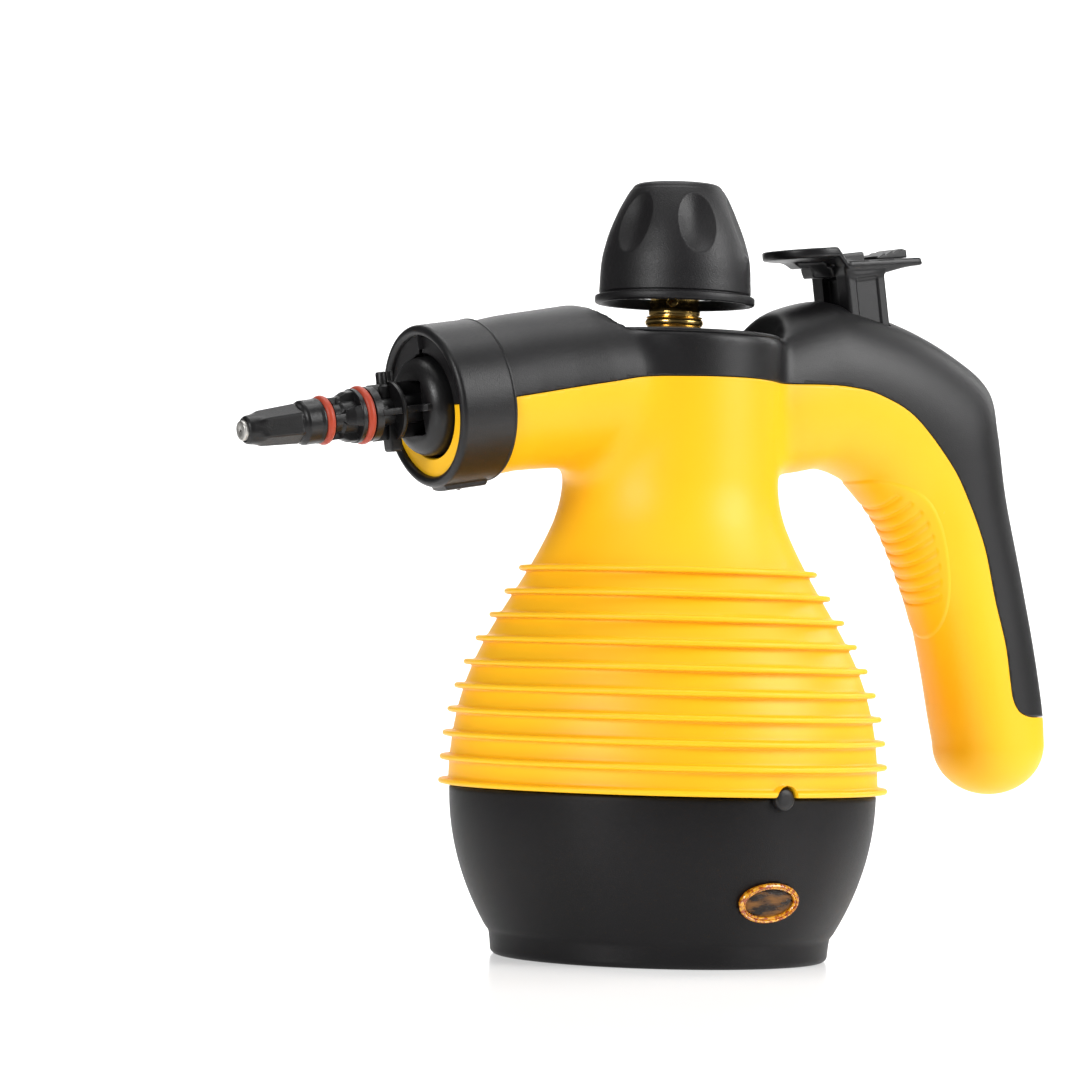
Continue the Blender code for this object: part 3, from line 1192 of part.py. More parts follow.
def make_cap():
    cap = turned("cap_shell", cap_profile(), CAP_SEGMENTS, BLACK, CAP_AXIS)
    middle = CAP_RISE + CAP_HEIGHT * 0.65
    wall = CAP_SHOULDER * 0.88
    for k in range(SCOOP_COUNT):
        bm = bmesh.new()
        bmesh.ops.create_uvsphere(bm, u_segments=SCOOP_SEGMENTS[0], v_segments=SCOOP_SEGMENTS[1], radius=1.0)
        bmesh.ops.scale(bm, verts=bm.verts, vec=(SCOOP_DEPTH * 2, SCOOP_WIDTH / 2, SCOOP_HEIGHT / 2))
        scoop = add_object("scoop_" + str(k + 1), mesh_from(bm, "scoop"), parent=CAP_AXIS)
        angle = -math.pi / 2 + SCOOP_TURN + 2 * math.pi * k / SCOOP_COUNT
        x, y = on_circle(wall + SCOOP_DEPTH, angle)
        scoop.rotation_euler = (0.0, -SCOOP_LEAN, angle)
        placed(scoop, x, y, middle)
        cut(cap, scoop)
    low = core_head_low() - TOUCH_GAP - RETAINER_THICKNESS
    outer = CAP_SLEEVE_RADIUS - CAP_WALL * 0.4 - TOUCH_GAP
    inner, high = CORE_RADIUS + TOUCH_GAP, low + RETAINER_THICKNESS
    turned("cap_retainer", [(inner, high), (outer, high), (outer, low), (inner, low)], ROUND_SEGMENTS, STEEL,
           CAP_AXIS, closed=True)
    head = core_head_low() + CORE_HEAD_HEIGHT
    post_low = head + CORE_SHANK_HEIGHT + CAP_TRAVEL + SLIDE_GAP * 2
    spring("cap_spring", (CORE_SHANK_RADIUS + CORE_HEAD_RADIUS) / 2, RELIEF_RADIUS * 0.2, head + TOUCH_GAP,
           post_low - TOUCH_GAP, SPRING_TURNS, CAP_AXIS)


# Steam button, lock slider and valve

def plate_outline():
    """Plan of the button: a round thumb plate that runs into a straight tab."""
    half_angle = math.asin(TAB_HALF_WIDTH / PLATE_RADIUS)
    points = []
    for i in range(PLATE_STEPS + 1):
        angle = half_angle + (2 * math.pi - 2 * half_angle) * i / PLATE_STEPS
        x, y = on_circle(PLATE_RADIUS, angle)
        points.append((x - PLATE_OFFSET, y))
    corner = TAB_THICKNESS
    points += [(TAB_LENGTH - corner, -TAB_HALF_WIDTH), (TAB_LENGTH, -TAB_HALF_WIDTH + corner),
               (TAB_LENGTH, TAB_HALF_WIDTH - corner), (TAB_LENGTH - corner, TAB_HALF_WIDTH)]
    return points


def plate_side():
    """Side view of the plate: level in front, a slanted step down, then the tab."""
    front = -PLATE_OFFSET - PLATE_RADIUS - OVERRUN
    back = TAB_LENGTH + OVERRUN
    knee = -STEM_LENGTH / 2 + TOUCH_GAP
    brow = knee - PLATE_LIFT * 1.1
    return [(front, PLATE_LIFT), (brow, PLATE_LIFT), (knee, 0.0), (back, 0.0), (back, TAB_THICKNESS),
            (knee + TAB_THICKNESS / 3, TAB_THICKNESS), (brow + TAB_THICKNESS / 3, PLATE_LIFT + PLATE_THICKNESS),
            (front, PLATE_LIFT + PLATE_THICKNESS)]


def in_frame(obj, parent):
    """Hang an object that is drawn in its frame's own coordinates on that frame."""
    obj.parent = parent
    obj.matrix_parent_inverse = Matrix.Identity(4)
    return obj


def make_button():
    plate = extruded("steam_button", plate_side(), -PLATE_RADIUS - OVERRUN, PLATE_RADIUS + OVERRUN,
                     material=BLACK)
    plan = extruded("button_plan", plate_outline(), -OVERRUN, PLATE_LIFT + PLATE_THICKNESS + OVERRUN, "XY")
    in_frame(plate, BUTTON_AXIS)
    in_frame(plan, BUTTON_AXIS)
    keep_common(plate, plan)
    stem = box("button_stem", (-STEM_LENGTH / 2, -STEM_WIDTH / 2, -STEM_DEPTH),
               (STEM_LENGTH / 2, STEM_WIDTH / 2, TAB_THICKNESS / 2), parent=BUTTON_AXIS)
    join(plate, stem)
    half = STEM_WIDTH / 2
    groove = GUSSET_THICKNESS / 4
    for side in (-1, 1):
        y_low, y_high = sorted((side * (half - groove), side * (half + OVERRUN)))
        cut(plate, box("stem_panel_" + ("a" if side < 0 else "b"),
                       (-STEM_LENGTH * 0.25, y_low, -STEM_DEPTH - OVERRUN),
                       (STEM_LENGTH * 0.30, y_high, -GUSSET_DEPTH), parent=BUTTON_AXIS))
        y_low, y_high = sorted((side * (half - GUSSET_THICKNESS), side * half))
        root = STEM_LENGTH / 2 - TOUCH_GAP
        gusset = extruded("gusset_" + ("a" if side < 0 else "b"),
                          [(root, TAB_THICKNESS / 2), (root, -GUSSET_DEPTH), (TAB_LENGTH * 0.9, 0.0),
                           (TAB_LENGTH * 0.9, TAB_THICKNESS / 2)], y_low, y_high)
        join(plate, in_frame(gusset, BUTTON_AXIS))
    channel = box("stem_channel", (-STEM_LENGTH / 2 - OVERRUN, -STEM_WIDTH * 0.2, -STEM_DEPTH - OVERRUN),
                  (-STEM_LENGTH * 0.3, STEM_WIDTH * 0.2, -GUSSET_DEPTH), parent=BUTTON_AXIS)
    cut(plate, channel)
    front, back = -PLATE_OFFSET - PLATE_RADIUS * 0.6, -STEM_LENGTH / 2 + TOUCH_GAP
    middle = PLATE_LIFT + PLATE_THICKNESS / 2
    web = extruded("thumb_web", [
        (back, middle), (front, middle), (front, PLATE_LIFT),
        (-PLATE_OFFSET - PLATE_RADIUS * 0.25, PLATE_LIFT / 4), (-PLATE_OFFSET, PLATE_LIFT / 4), (-PLATE_OFFSET, -PLATE_LIFT / 2), (back, -PLATE_LIFT / 2)],
        -STEM_WIDTH * 0.15, STEM_WIDTH * 0.15)
    join(plate, in_frame(web, BUTTON_AXIS))
    slot_low, slot_high = slider_slot()
    foot = SLIDER_WIDTH * 0.3
    cut(plate, box("slider_slot", (slot_low, -foot / 2 - TOUCH_GAP, -TAB_THICKNESS - GUSSET_DEPTH),
                   (slot_high, foot / 2 + TOUCH_GAP, TAB_THICKNESS + OVERRUN), parent=BUTTON_AXIS))
    front, back = -STEM_LENGTH * 0.28, STEM_LENGTH * 0.18
    stop = extruded("slider_stop", [
        (front, TAB_THICKNESS / 2), (back, TAB_THICKNESS / 2), (back, TAB_THICKNESS + SLIDER_HEIGHT * 0.75),
        (front, TAB_THICKNESS + SLIDER_HEIGHT * 0.2)], -SLIDER_WIDTH / 2, SLIDER_WIDTH / 2)
    join(plate, in_frame(stop, BUTTON_AXIS))


def slider_place():
    """Front and rear of the slider's top, clear of the stem's rear face below."""
    back = TAB_LENGTH - TAB_THICKNESS
    return back - SLIDER_LENGTH, back


def slider_slot():
    """The slot that the slider's foot runs in, behind the stem."""
    front, back = slider_place()
    foot_front = max(front, STEM_LENGTH / 2 + SLIDER_TRAVEL + TOUCH_GAP * 2)
    return foot_front - SLIDER_TRAVEL - TOUCH_GAP, back - SLIDER_LENGTH * 0.25 + TOUCH_GAP


def make_slider():
    front, back = slider_place()
    low = TAB_THICKNESS + TOUCH_GAP
    rise = SLIDER_HEIGHT
    outline = [(front, low), (back, low), (back, low + rise * 0.6)]
    step = SLIDER_LENGTH * 0.75 / RIDGE_COUNT
    for k in range(RIDGE_COUNT):
        crest = back - SLIDER_LENGTH * 0.15 - step * k
        height = low + rise * (1.0 - RIDGE_FALL_SHARE * k)
        outline += [(crest, low + rise * 0.6), (crest - step * 0.25, height), (crest - step * 0.6, height),
                    (crest - step * 0.85, low + rise * (0.55 - RIDGE_FALL_SHARE / 2 * k))]
    outline.append((front, low + rise * 0.15))
    slider = extruded("lock_slider", outline, -SLIDER_WIDTH / 2, SLIDER_WIDTH / 2, material=BLACK)
    in_frame(slider, BUTTON_AXIS)
    foot = SLIDER_WIDTH * 0.3
    slot_low, slot_high = slider_slot()
    foot_low = slot_low + SLIDER_TRAVEL + TOUCH_GAP
    foot_high = slot_high - TOUCH_GAP
    under = -TOUCH_GAP - TAB_THICKNESS / 2
    join(slider, box("slider_foot", (foot_low, -foot / 2, under), (foot_high, foot / 2, low + rise * 0.1),
                     parent=BUTTON_AXIS))
    join(slider, box("slider_head", (foot_low, -foot, under), (foot_high, foot, -TOUCH_GAP),
                     parent=BUTTON_AXIS))


def valve_top():
    return -STEM_DEPTH - VALVE_STAND_OFF


def make_valve():
    """Brass valve in line with the button, its plunger standing under the stem."""
    top = valve_top()
    low = top - VALVE_LENGTH
    roof = top - VALVE_ROOF
    turned("valve_body", [
        (PLUNGER_RADIUS + TOUCH_GAP, top), (VALVE_RADIUS * 0.8, top), (VALVE_RADIUS, top - VALVE_ROOF / 4),
        (VALVE_RADIUS, low), (VALVE_BORE, low), (VALVE_BORE, roof), (PLUNGER_RADIUS + TOUCH_GAP, roof)],
        SMALL_SEGMENTS, BRASS, BUTTON_AXIS, closed=True)
    piston_top = roof - TOUCH_GAP
    piston_low = piston_top - PLUNGER_PISTON_LENGTH
    turned("valve_plunger", [
        (0.0, -STEM_DEPTH - TOUCH_GAP), (PLUNGER_RADIUS, -STEM_DEPTH - TOUCH_GAP), (PLUNGER_RADIUS, piston_top),
        (PLUNGER_PISTON_RADIUS, piston_top), (PLUNGER_PISTON_RADIUS, piston_low), (0.0, piston_low)],
        SMALL_SEGMENTS, STEEL, BUTTON_AXIS)
    plug_top = low + VALVE_ROOF / 2
    turned("valve_plug", [
        (0.0, plug_top), (VALVE_BORE - TOUCH_GAP, plug_top), (VALVE_BORE - TOUCH_GAP, low - TOUCH_GAP),
        (VALVE_RADIUS * 0.9, low - TOUCH_GAP), (VALVE_RADIUS * 0.9, low - VALVE_ROOF / 2),
        (0.0, low - VALVE_ROOF / 2)],
        SMALL_SEGMENTS, BRASS, BUTTON_AXIS)
    wire = PLUNGER_RADIUS / 5
    spring("valve_spring", VALVE_BORE * 0.7, wire, plug_top + TOUCH_GAP, piston_low - TOUCH_GAP, SPRING_TURNS,
           BUTTON_AXIS)
    spring("button_spring", VALVE_RADIUS * 0.6, wire, top + TOUCH_GAP, -STEM_DEPTH - TOUCH_GAP, SPRING_TURNS,
           BUTTON_AXIS)


def make_pipes():
    """Copper pipes: from the boiler's roof to the valve's foot, and from the valve past the neck to the hub."""
    bpy.context.view_layer.update()
    frame = BUTTON_AXIS.matrix_world
    side = -VALVE_RADIUS - TOUCH_GAP
    lead = PIPE_RADIUS * 2.4
    entry_height = valve_top() - VALVE_LENGTH * 0.75
    outlet_height = valve_top() - VALVE_LENGTH * 0.3
    entry = [tuple(frame @ Vector((side - reach, 0.0, entry_height))) for reach in (lead, PIPE_RADIUS, 0.0)]
    outlet = [tuple(frame @ Vector((side - reach, 0.0, outlet_height))) for reach in (0.0, PIPE_RADIUS, lead)]
    x, y = inlet_place()
    turn = WAIST_Z + WAIST_BLEND
    level = entry[0][2] + PIPE_RADIUS
    route = [(x, y, BOILER_TOP_Z + lead), (x, y, turn), (x + lead * 0.7, y, level - lead * 0.7),
             (x + lead * 2, y, level), (COVER_SCREW_PLACE, y, level),
             (COVER_SCREW_PLACE + lead, y * 0.85, level),
             (entry[0][0] - PIPE_RADIUS, y * 0.25, entry[0][2])]
    tube("valve_inlet_tube", [(x, y, BOILER_TOP_Z - BOILER_WALL / 2)] + smooth_route(route, 2) + entry,
         PIPE_RADIUS, COPPER)
    back = -ROOT_DEPTH - HUB_FLANGE_THICKNESS - TOUCH_GAP
    ends = [spout_point(back - reach) for reach in (lead * 1.5, PIPE_RADIUS, 0.0)]
    level = outlet[2][2]
    route = [outlet[2], (COVER_SCREW_PLACE + lead, -PIPE_OFFSET / 2, level),
             (COVER_SCREW_PLACE, -PIPE_OFFSET, level), (WAIST_RADIUS / 2, -PIPE_OFFSET, level),
             (-WAIST_RADIUS / 2, -PIPE_OFFSET, (level + ends[0][1]) / 2),
             (-WAIST_RADIUS * 1.2, -PIPE_OFFSET / 2, ends[0][1]), (ends[0][0], 0.0, ends[0][1])]
    tube("steam_tube", outlet[:2] + smooth_route(route, 2) + [(x, 0.0, z) for x, z in ends[1:]],
         PIPE_RADIUS, COPPER)


# Nozzle end

def make_collar():
    back = -COLLAR_LENGTH
    bore = SPOUT_RADIUS + SLIDE_GAP
    collar = turned("nozzle_collar", [
        (COLLAR_LIP_RADIUS + COLLAR_EDGE / 3, 0.0), (COLLAR_RADIUS - COLLAR_EDGE, 0.0),
        (COLLAR_RADIUS - COLLAR_EDGE * 0.3, -COLLAR_EDGE * 0.3), (COLLAR_RADIUS, -COLLAR_EDGE),
        (COLLAR_RADIUS, back + COLLAR_EDGE / 4), (COLLAR_RADIUS - COLLAR_EDGE / 4, back), (bore, back),
        (bore, -COLLAR_LIP_LENGTH), (COLLAR_LIP_RADIUS, -COLLAR_LIP_LENGTH),
        (COLLAR_LIP_RADIUS, -COLLAR_EDGE / 3)],
        BODY_SEGMENTS, BLACK, SPOUT_AXIS, closed=True)
    pad = box("collar_pad", (-COLLAR_RADIUS - COLLAR_PAD_HEIGHT, -COLLAR_PAD_WIDTH / 2, back + COLLAR_EDGE),
              (-COLLAR_RADIUS + COLLAR_EDGE / 3, COLLAR_PAD_WIDTH / 2, -COLLAR_EDGE), parent=SPOUT_AXIS)
    join(collar, pad)


def make_hub():
    wall_back = -COLLAR_LIP_LENGTH - TOUCH_GAP - WALL
    flange_top = wall_back - TOUCH_GAP
    flange_low = flange_top - HUB_FLANGE_THICKNESS
    back = -ROOT_DEPTH - HUB_FLANGE_THICKNESS
    socket = HUB_SOCKET_RADIUS
    rim = math.acos(socket / HUB_RADIUS)
    crown = (HUB_RISE + COLLAR_LIP_LENGTH) / math.sin(rim)
    dome = [(HUB_RADIUS * math.cos(rim * share), crown * math.sin(rim * share) - COLLAR_LIP_LENGTH)
            for share in np.linspace(1.0, 0.0, DOME_STEPS)]
    turned("nozzle_hub", dome + [
        (HUB_RADIUS, flange_top), (HUB_FLANGE_RADIUS, flange_top), (HUB_FLANGE_RADIUS, flange_low),
        (socket + WALL, flange_low), (socket + WALL, back), (PIPE_RADIUS + TOUCH_GAP, back),
        (PIPE_RADIUS + TOUCH_GAP, -ROOT_DEPTH), (socket, -ROOT_DEPTH)],
        ROUND_SEGMENTS, NOZZLE_BLACK, SPOUT_AXIS, closed=True)


def ring_groove(place, radius):
    """Land, groove and land for one O-ring, listed towards the root."""
    land = radius - RING_THICKNESS * 0.15
    floor = radius - RING_THICKNESS - TOUCH_GAP
    half = RING_THICKNESS / 2 + TOUCH_GAP
    return [(land, place + half + LAND_LENGTH / 2), (land, place + half), (floor, place + half),
            (floor, place - half), (land, place - half), (land, place - half - LAND_LENGTH / 2)]


def o_ring(name, place, radius):
    tube_radius = RING_THICKNESS / 2
    middle = radius - tube_radius
    profile = []
    for i in range(O_RING_STEPS):
        x, y = on_circle(tube_radius, -2 * math.pi * i / O_RING_STEPS)
        profile.append((middle + x, place + y))
    turned(name, profile, NOZZLE_SEGMENTS, ORANGE, SPOUT_AXIS, closed=True)


def make_nozzle():
    root_top = HUB_RISE + LAND_LENGTH / 2
    profile = [(0.0, SHOULDER_END + LAND_LENGTH), (BARREL_RADIUS * 0.8, SHOULDER_END + LAND_LENGTH),
               (BARREL_RADIUS, SHOULDER_END), (FRONT_RING_RADIUS - TOUCH_GAP, SHOULDER_END - LAND_LENGTH / 3)]
    profile += ring_groove(FRONT_RING_PLACE, FRONT_RING_RADIUS)
    front_low = profile[-1][1]
    rear = ring_groove(REAR_RING_PLACE, REAR_RING_RADIUS)
    profile += [(WAIST_CORE_RADIUS, front_low), (WAIST_CORE_RADIUS, rear[0][1])] + rear
    profile += [(STEM_CORE_RADIUS, rear[-1][1]), (STEM_CORE_RADIUS, root_top), (ROOT_RADIUS, root_top),
                (ROOT_RADIUS, -ROOT_DEPTH + TOUCH_GAP), (0.0, -ROOT_DEPTH + TOUCH_GAP)]
    nozzle = turned("steam_nozzle", profile, NOZZLE_SEGMENTS, NOZZLE_BLACK, SPOUT_AXIS)
    barrel = rod("nozzle_barrel", BARREL_RADIUS, SHOULDER_END - LAND_LENGTH, NOZZLE_LENGTH - TIP_LENGTH * 0.3,
                 BARREL_SIDES, parent=SPOUT_AXIS, tip=BARREL_TIP_RADIUS)
    join(nozzle, barrel)
    for k in range(FIN_COUNT // 2):
        low, high = root_top - LAND_LENGTH / 2, rear[-1][1] + LAND_LENGTH / 4
        fin = box("stem_fin_" + str(k + 1), (-FIN_RADIUS, -FIN_THICKNESS / 2, low),
                  (FIN_RADIUS, FIN_THICKNESS / 2, high), parent=SPOUT_AXIS)
        reach = WAIST_CORE_RADIUS * 1.35
        rib = box("waist_fin_" + str(k + 1), (-reach, -FIN_THICKNESS / 2, rear[0][1] - LAND_LENGTH / 4),
                  (reach, FIN_THICKNESS / 2, front_low + LAND_LENGTH / 4), parent=SPOUT_AXIS)
        for piece in (fin, rib):
            piece.rotation_euler = (0.0, 0.0, math.pi / 2 * k)
            join(nozzle, piece)
    half = LUG_LENGTH / 2
    join(nozzle, box("nozzle_lug", (-LUG_RADIUS, -LUG_WIDTH / 2, LUG_PLACE - half),
                     (0.0, LUG_WIDTH / 2, LUG_PLACE + half), parent=SPOUT_AXIS))
    key_edge = KEY_LENGTH / 2
    join(nozzle, box("nozzle_key", (0.0, -LUG_WIDTH / 2, KEY_PLACE - key_edge),
                     (LUG_RADIUS, LUG_WIDTH / 2, KEY_PLACE + key_edge), parent=SPOUT_AXIS))
    post = rod("nozzle_post", POST_RADIUS, 0.0, LUG_RADIUS, TINY_SEGMENTS, parent=SPOUT_AXIS)
    post.rotation_euler = (0.0, math.pi / 2, 0.0)
    join(nozzle, placed(post, 0.0, 0.0, POST_PLACE))
    flange_edge = LUG_LENGTH / 5
    join(nozzle, rod("lug_flange", FIN_RADIUS + FIN_THICKNESS / 3, LUG_PLACE - flange_edge,
                     LUG_PLACE + flange_edge, NOZZLE_SEGMENTS, parent=SPOUT_AXIS))
    cut(nozzle, rod("nozzle_bore", NOZZLE_BORE, -ROOT_DEPTH - OVERRUN, NOZZLE_LENGTH, TINY_SEGMENTS,
                    parent=SPOUT_AXIS))
    cut(nozzle, rod("tip_seat", TIP_RADIUS + TOUCH_GAP, NOZZLE_LENGTH - TIP_LENGTH - TOUCH_GAP,
                    NOZZLE_LENGTH + OVERRUN, SMALL_SEGMENTS, parent=SPOUT_AXIS))
    chamfer = TIP_BORE / 2
    turned("nozzle_tip", [
        (TIP_BORE + chamfer, NOZZLE_LENGTH), (TIP_RADIUS - chamfer, NOZZLE_LENGTH),
        (TIP_RADIUS, NOZZLE_LENGTH - chamfer), (TIP_RADIUS, NOZZLE_LENGTH - TIP_LENGTH),
        (NOZZLE_BORE, NOZZLE_LENGTH - TIP_LENGTH),
        (NOZZLE_BORE, NOZZLE_LENGTH - TIP_LENGTH / 2), (TIP_BORE, NOZZLE_LENGTH - TIP_LENGTH / 2),
        (TIP_BORE, NOZZLE_LENGTH - chamfer)], SMALL_SEGMENTS, STEEL, SPOUT_AXIS, closed=True)
    o_ring("rear_o_ring", REAR_RING_PLACE, REAR_RING_RADIUS)
    o_ring("front_o_ring", FRONT_RING_PLACE, FRONT_RING_RADIUS)


whole_shell = make_shell()
make_base()
make_housing(whole_shell)
make_top_cover(whole_shell)
make_gland()
lamp_piece = make_lens_and_lamp()
make_boiler()
make_heater()
make_lamp_wires(lamp_piece)
make_neck()
make_core()
make_cap()
make_button()
make_slider()
make_valve()
make_pipes()
make_collar()
make_hub()
make_nozzle()
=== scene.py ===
"""The steam cleaner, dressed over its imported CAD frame.

Shapes are worked out in millimetres as whole arrays and put down in metres, each in its own place.
+Z is up, the nozzle points towards -X and the hook handle towards +X.
"""
import math

import bpy
import numpy as np
from mathutils import Matrix, Vector


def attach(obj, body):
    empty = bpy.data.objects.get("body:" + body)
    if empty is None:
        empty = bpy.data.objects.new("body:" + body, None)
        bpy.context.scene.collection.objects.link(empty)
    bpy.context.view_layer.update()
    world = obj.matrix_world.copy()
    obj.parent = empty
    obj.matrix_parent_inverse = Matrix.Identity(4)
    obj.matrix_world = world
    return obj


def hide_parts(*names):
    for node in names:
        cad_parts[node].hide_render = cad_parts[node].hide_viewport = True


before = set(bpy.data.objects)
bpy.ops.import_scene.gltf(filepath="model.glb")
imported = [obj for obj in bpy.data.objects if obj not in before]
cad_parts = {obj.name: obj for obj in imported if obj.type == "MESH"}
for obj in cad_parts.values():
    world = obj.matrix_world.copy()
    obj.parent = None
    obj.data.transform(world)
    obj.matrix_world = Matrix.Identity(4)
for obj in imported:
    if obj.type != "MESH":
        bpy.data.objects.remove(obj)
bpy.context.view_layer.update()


# Base cover: a bowl of black grained plastic with a foot ring, moulded in one with its three screw pillars.
# A screw up each pillar holds it to the boiler's flange, and a half-round bump keys it to the housing's lowest rib.
class Wire:
    """A shader socket that takes arithmetic: each operator adds the Math node for it."""

    def __init__(self, finish, socket):
        self.finish = finish
        self.socket = socket

    def math(self, operation, other):
        return self.finish.node("ShaderNodeMath", {"operation": operation}, {0: self, 1: other})

    def __add__(self, other):
        return self.math("ADD", other)

    def __sub__(self, other):
        return self.math("SUBTRACT", other)

    def __mul__(self, other):
        return self.math("MULTIPLY", other)


class Finish:
    """A named material being made round one Principled shader, whose fixed values are set on it directly."""

    def __init__(self, name, **fixed):
        self.material = bpy.data.materials.new(name)
        self.material.use_nodes = True
        self.nodes = self.material.node_tree.nodes
        self.links = self.material.node_tree.links
        self.shader = self.nodes["Principled BSDF"]
        self.done(**fixed)
        self.place = self.node("ShaderNodeTexCoord", output="Object")

    def node(self, kind, settings=None, inputs=None, output=0):
        """One node of any kind: its settings first, then the values or wires of its sockets."""
        node = self.nodes.new(kind)
        for name, value in (settings or {}).items():
            setattr(node, name, value)
        for key, value in (inputs or {}).items():
            self.feed(node.inputs[key], value)
        return Wire(self, node.outputs[output])

    def feed(self, socket, value):
        if isinstance(value, Wire):
            self.links.new(value.socket, socket)
        elif isinstance(value, tuple) and len(value) == 3 and len(socket.default_value) == 4:
            socket.default_value = (*value, 1.0)
        else:
            socket.default_value = value

    def noise(self, scale, detail=2.0, roughness=0.5, place=None):
        return self.node("ShaderNodeTexNoise", {}, {"Vector": place or self.place, "Scale": scale,
                                                   "Detail": detail, "Roughness": roughness})

    def cells(self, scale):
        return self.node("ShaderNodeTexVoronoi", {}, {"Vector": self.place, "Scale": scale})

    def stretched(self, scale, turn=(0.0, 0.0, 0.0)):
        return self.node("ShaderNodeMapping", {}, {"Vector": self.place, "Scale": scale, "Rotation": turn})

    def streaks(self, scale, turn, low, high):
        """Sparse dry marks, drawn out along one slanting direction."""
        return self.range(self.noise(1.0, 4.0, 0.7, self.stretched(scale, turn)), low, high)

    def range(self, value, low, high, to_low=0.0, to_high=1.0):
        return self.node("ShaderNodeMapRange", {}, {"Value": value, "From Min": low, "From Max": high,
                                                   "To Min": to_low, "To Max": to_high})

    def mix(self, factor, first, second):
        return self.node("ShaderNodeMix", {"data_type": "RGBA"}, {0: factor, 6: first, 7: second}, 2)

    def bump(self, height, depth):
        return self.node("ShaderNodeBump", {}, {"Height": height, "Distance": depth, "Strength": 1.0})

    def done(self, **fed):
        for socket, value in fed.items():
            self.feed(self.shader.inputs[socket.replace("_", " ")], value)
        return self.material


def paint(red, green, blue):
    """A colour given as it reads on a screen, 0 to 255, in the renderer's linear light."""
    values = np.array((red, green, blue)) / 255.0
    linear = np.where(values <= 0.04045, values / 12.92, ((values + 0.055) / 1.055) ** 2.4)
    return tuple(float(v) for v in linear)


def moulded_plastic(name, dark, light, gloss, grain, depth, scuffs=0.06, shine=0.42):
    """Spark-grained moulded plastic between two screen colours: fine pits, clouds, faint flow lines, dry scuffs."""
    dark, light = paint(*dark), paint(*light)
    finish = Finish(name, IOR=1.47, Specular_IOR_Level=shine)
    cloud = finish.noise(22.0, 3.0)
    flow = finish.noise(1.0, 2.0, place=finish.stretched((60.0, 60.0, 9.0)))
    pits = finish.noise(grain, 2.0, 0.6)
    fine = finish.cells(grain * 1.7)
    scuff = finish.streaks((900.0, 60.0, 240.0), (0.3, 0.5, 0.8), 0.66, 0.74)
    colour = finish.mix(finish.range(cloud * 0.6 + flow * 0.4, 0.3, 0.7), dark, light)
    worn = finish.mix(scuff * scuffs, colour, tuple(min(1.0, c * 1.5 + 0.02) for c in light))
    rough = finish.range(pits, 0.3, 0.7, gloss - 0.05, gloss + 0.05) + scuff * scuffs + (cloud - 0.5) * 0.06
    height = pits * 0.7 + fine * 0.3
    return finish.done(Base_Color=worn, Roughness=rough, Normal=finish.bump(height, depth))


MM = 0.001


def lay(name, body, material, mesh, instead=(), place=None, wall=0.0):
    """A smooth mesh in millimetres put down in metres, riding on a CAD body in place of some nodes.

    A place takes its points into the object's frame, and a wall thickens an open skin inwards.
    """
    points, faces = mesh
    if place:
        points = place(points)
    data = bpy.data.meshes.new(name)
    data.from_pydata((points * MM).tolist(), [], faces.tolist())
    data.validate()
    data.shade_smooth()
    data.set_sharp_from_angle(angle=math.radians(38.0))
    data.materials.append(material)
    obj = bpy.data.objects.new(name, data)
    bpy.context.scene.collection.objects.link(obj)
    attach(obj, body)
    if instead:
        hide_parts(*instead)
    if wall:
        solidify = obj.modifiers.new("Wall", "SOLIDIFY")
        solidify.thickness = wall * MM
        solidify.offset = -1.0


def sheet_faces(rows, columns, round_rows=False, round_columns=True):
    """The quads of a grid of rows by columns, closed round either way where asked."""
    i = np.arange(rows if round_rows else rows - 1)[:, None]
    j = np.arange(columns if round_columns else columns - 1)[None, :]
    after_i, after_j = (i + 1) % rows, (j + 1) % columns
    quads = np.broadcast_arrays(i * columns + j, i * columns + after_j,
                                after_i * columns + after_j, after_i * columns + j)
    return np.stack(quads, axis=-1).reshape(-1, 4)


def circle(count):
    """Angles in even steps once round."""
    return np.linspace(0.0, 2 * math.pi, count, endpoint=False)


def sector(middle, half, fine, coarse):
    """Angles once round, closer together within a half-angle of a middle."""
    far = np.linspace(middle + half, middle + 2 * math.pi - half, coarse)
    return np.concatenate((middle + np.linspace(-half, half, fine), far[1:-1]))


def spun(radius, height, angles):
    """Points at radii and heights, turned to their angles about the upright axis."""
    return np.stack(np.broadcast_arrays(radius * np.cos(angles), radius * np.sin(angles), height), axis=-1)


def welded(points, faces, closeness=1e-4):
    """The same mesh in triangles, points in one place merged and faces that shrank to nothing left out."""
    keys = np.round(points / closeness).astype(np.int64)
    _, first, back = np.unique(keys, axis=0, return_index=True, return_inverse=True)
    faces = back.reshape(-1)[faces]
    if faces.shape[1] == 4:
        faces = np.concatenate((faces[:, [0, 1, 2]], faces[:, [0, 2, 3]]))
    return points[first], faces[(faces != np.roll(faces, 1, axis=1)).all(axis=1)]


def turned(profile, segments=96, closed=True, angles=None):
    """A ring or a solid of revolution: a profile down its outer side, turned about the upright axis."""
    profile = np.asarray(profile, dtype=float)[:, :, None]
    if angles is None:
        angles = circle(segments)
    points = spun(profile[:, 0], profile[:, 1], angles).reshape(-1, 3)
    return welded(points, sheet_faces(len(profile), len(angles), round_rows=closed)[:, ::-1])


def joined(*meshes):
    """Several meshes of triangles as one."""
    starts = np.cumsum([0] + [len(points) for points, _ in meshes])
    return (np.concatenate([points for points, _ in meshes]),
            np.concatenate([faces + start for (_, faces), start in zip(meshes, starts)]))


def placed(mesh, shift, axes="x y z"):
    """A mesh moved by a shift; each word of axes first says which old axis, and its sign, becomes x, y and z."""
    points, faces = mesh
    columns = [points[:, "xyz".index(word[-1])] * (-1.0 if word[0] == "-" else 1.0) for word in axes.split()]
    return np.stack(columns, axis=1) + np.array(shift), faces


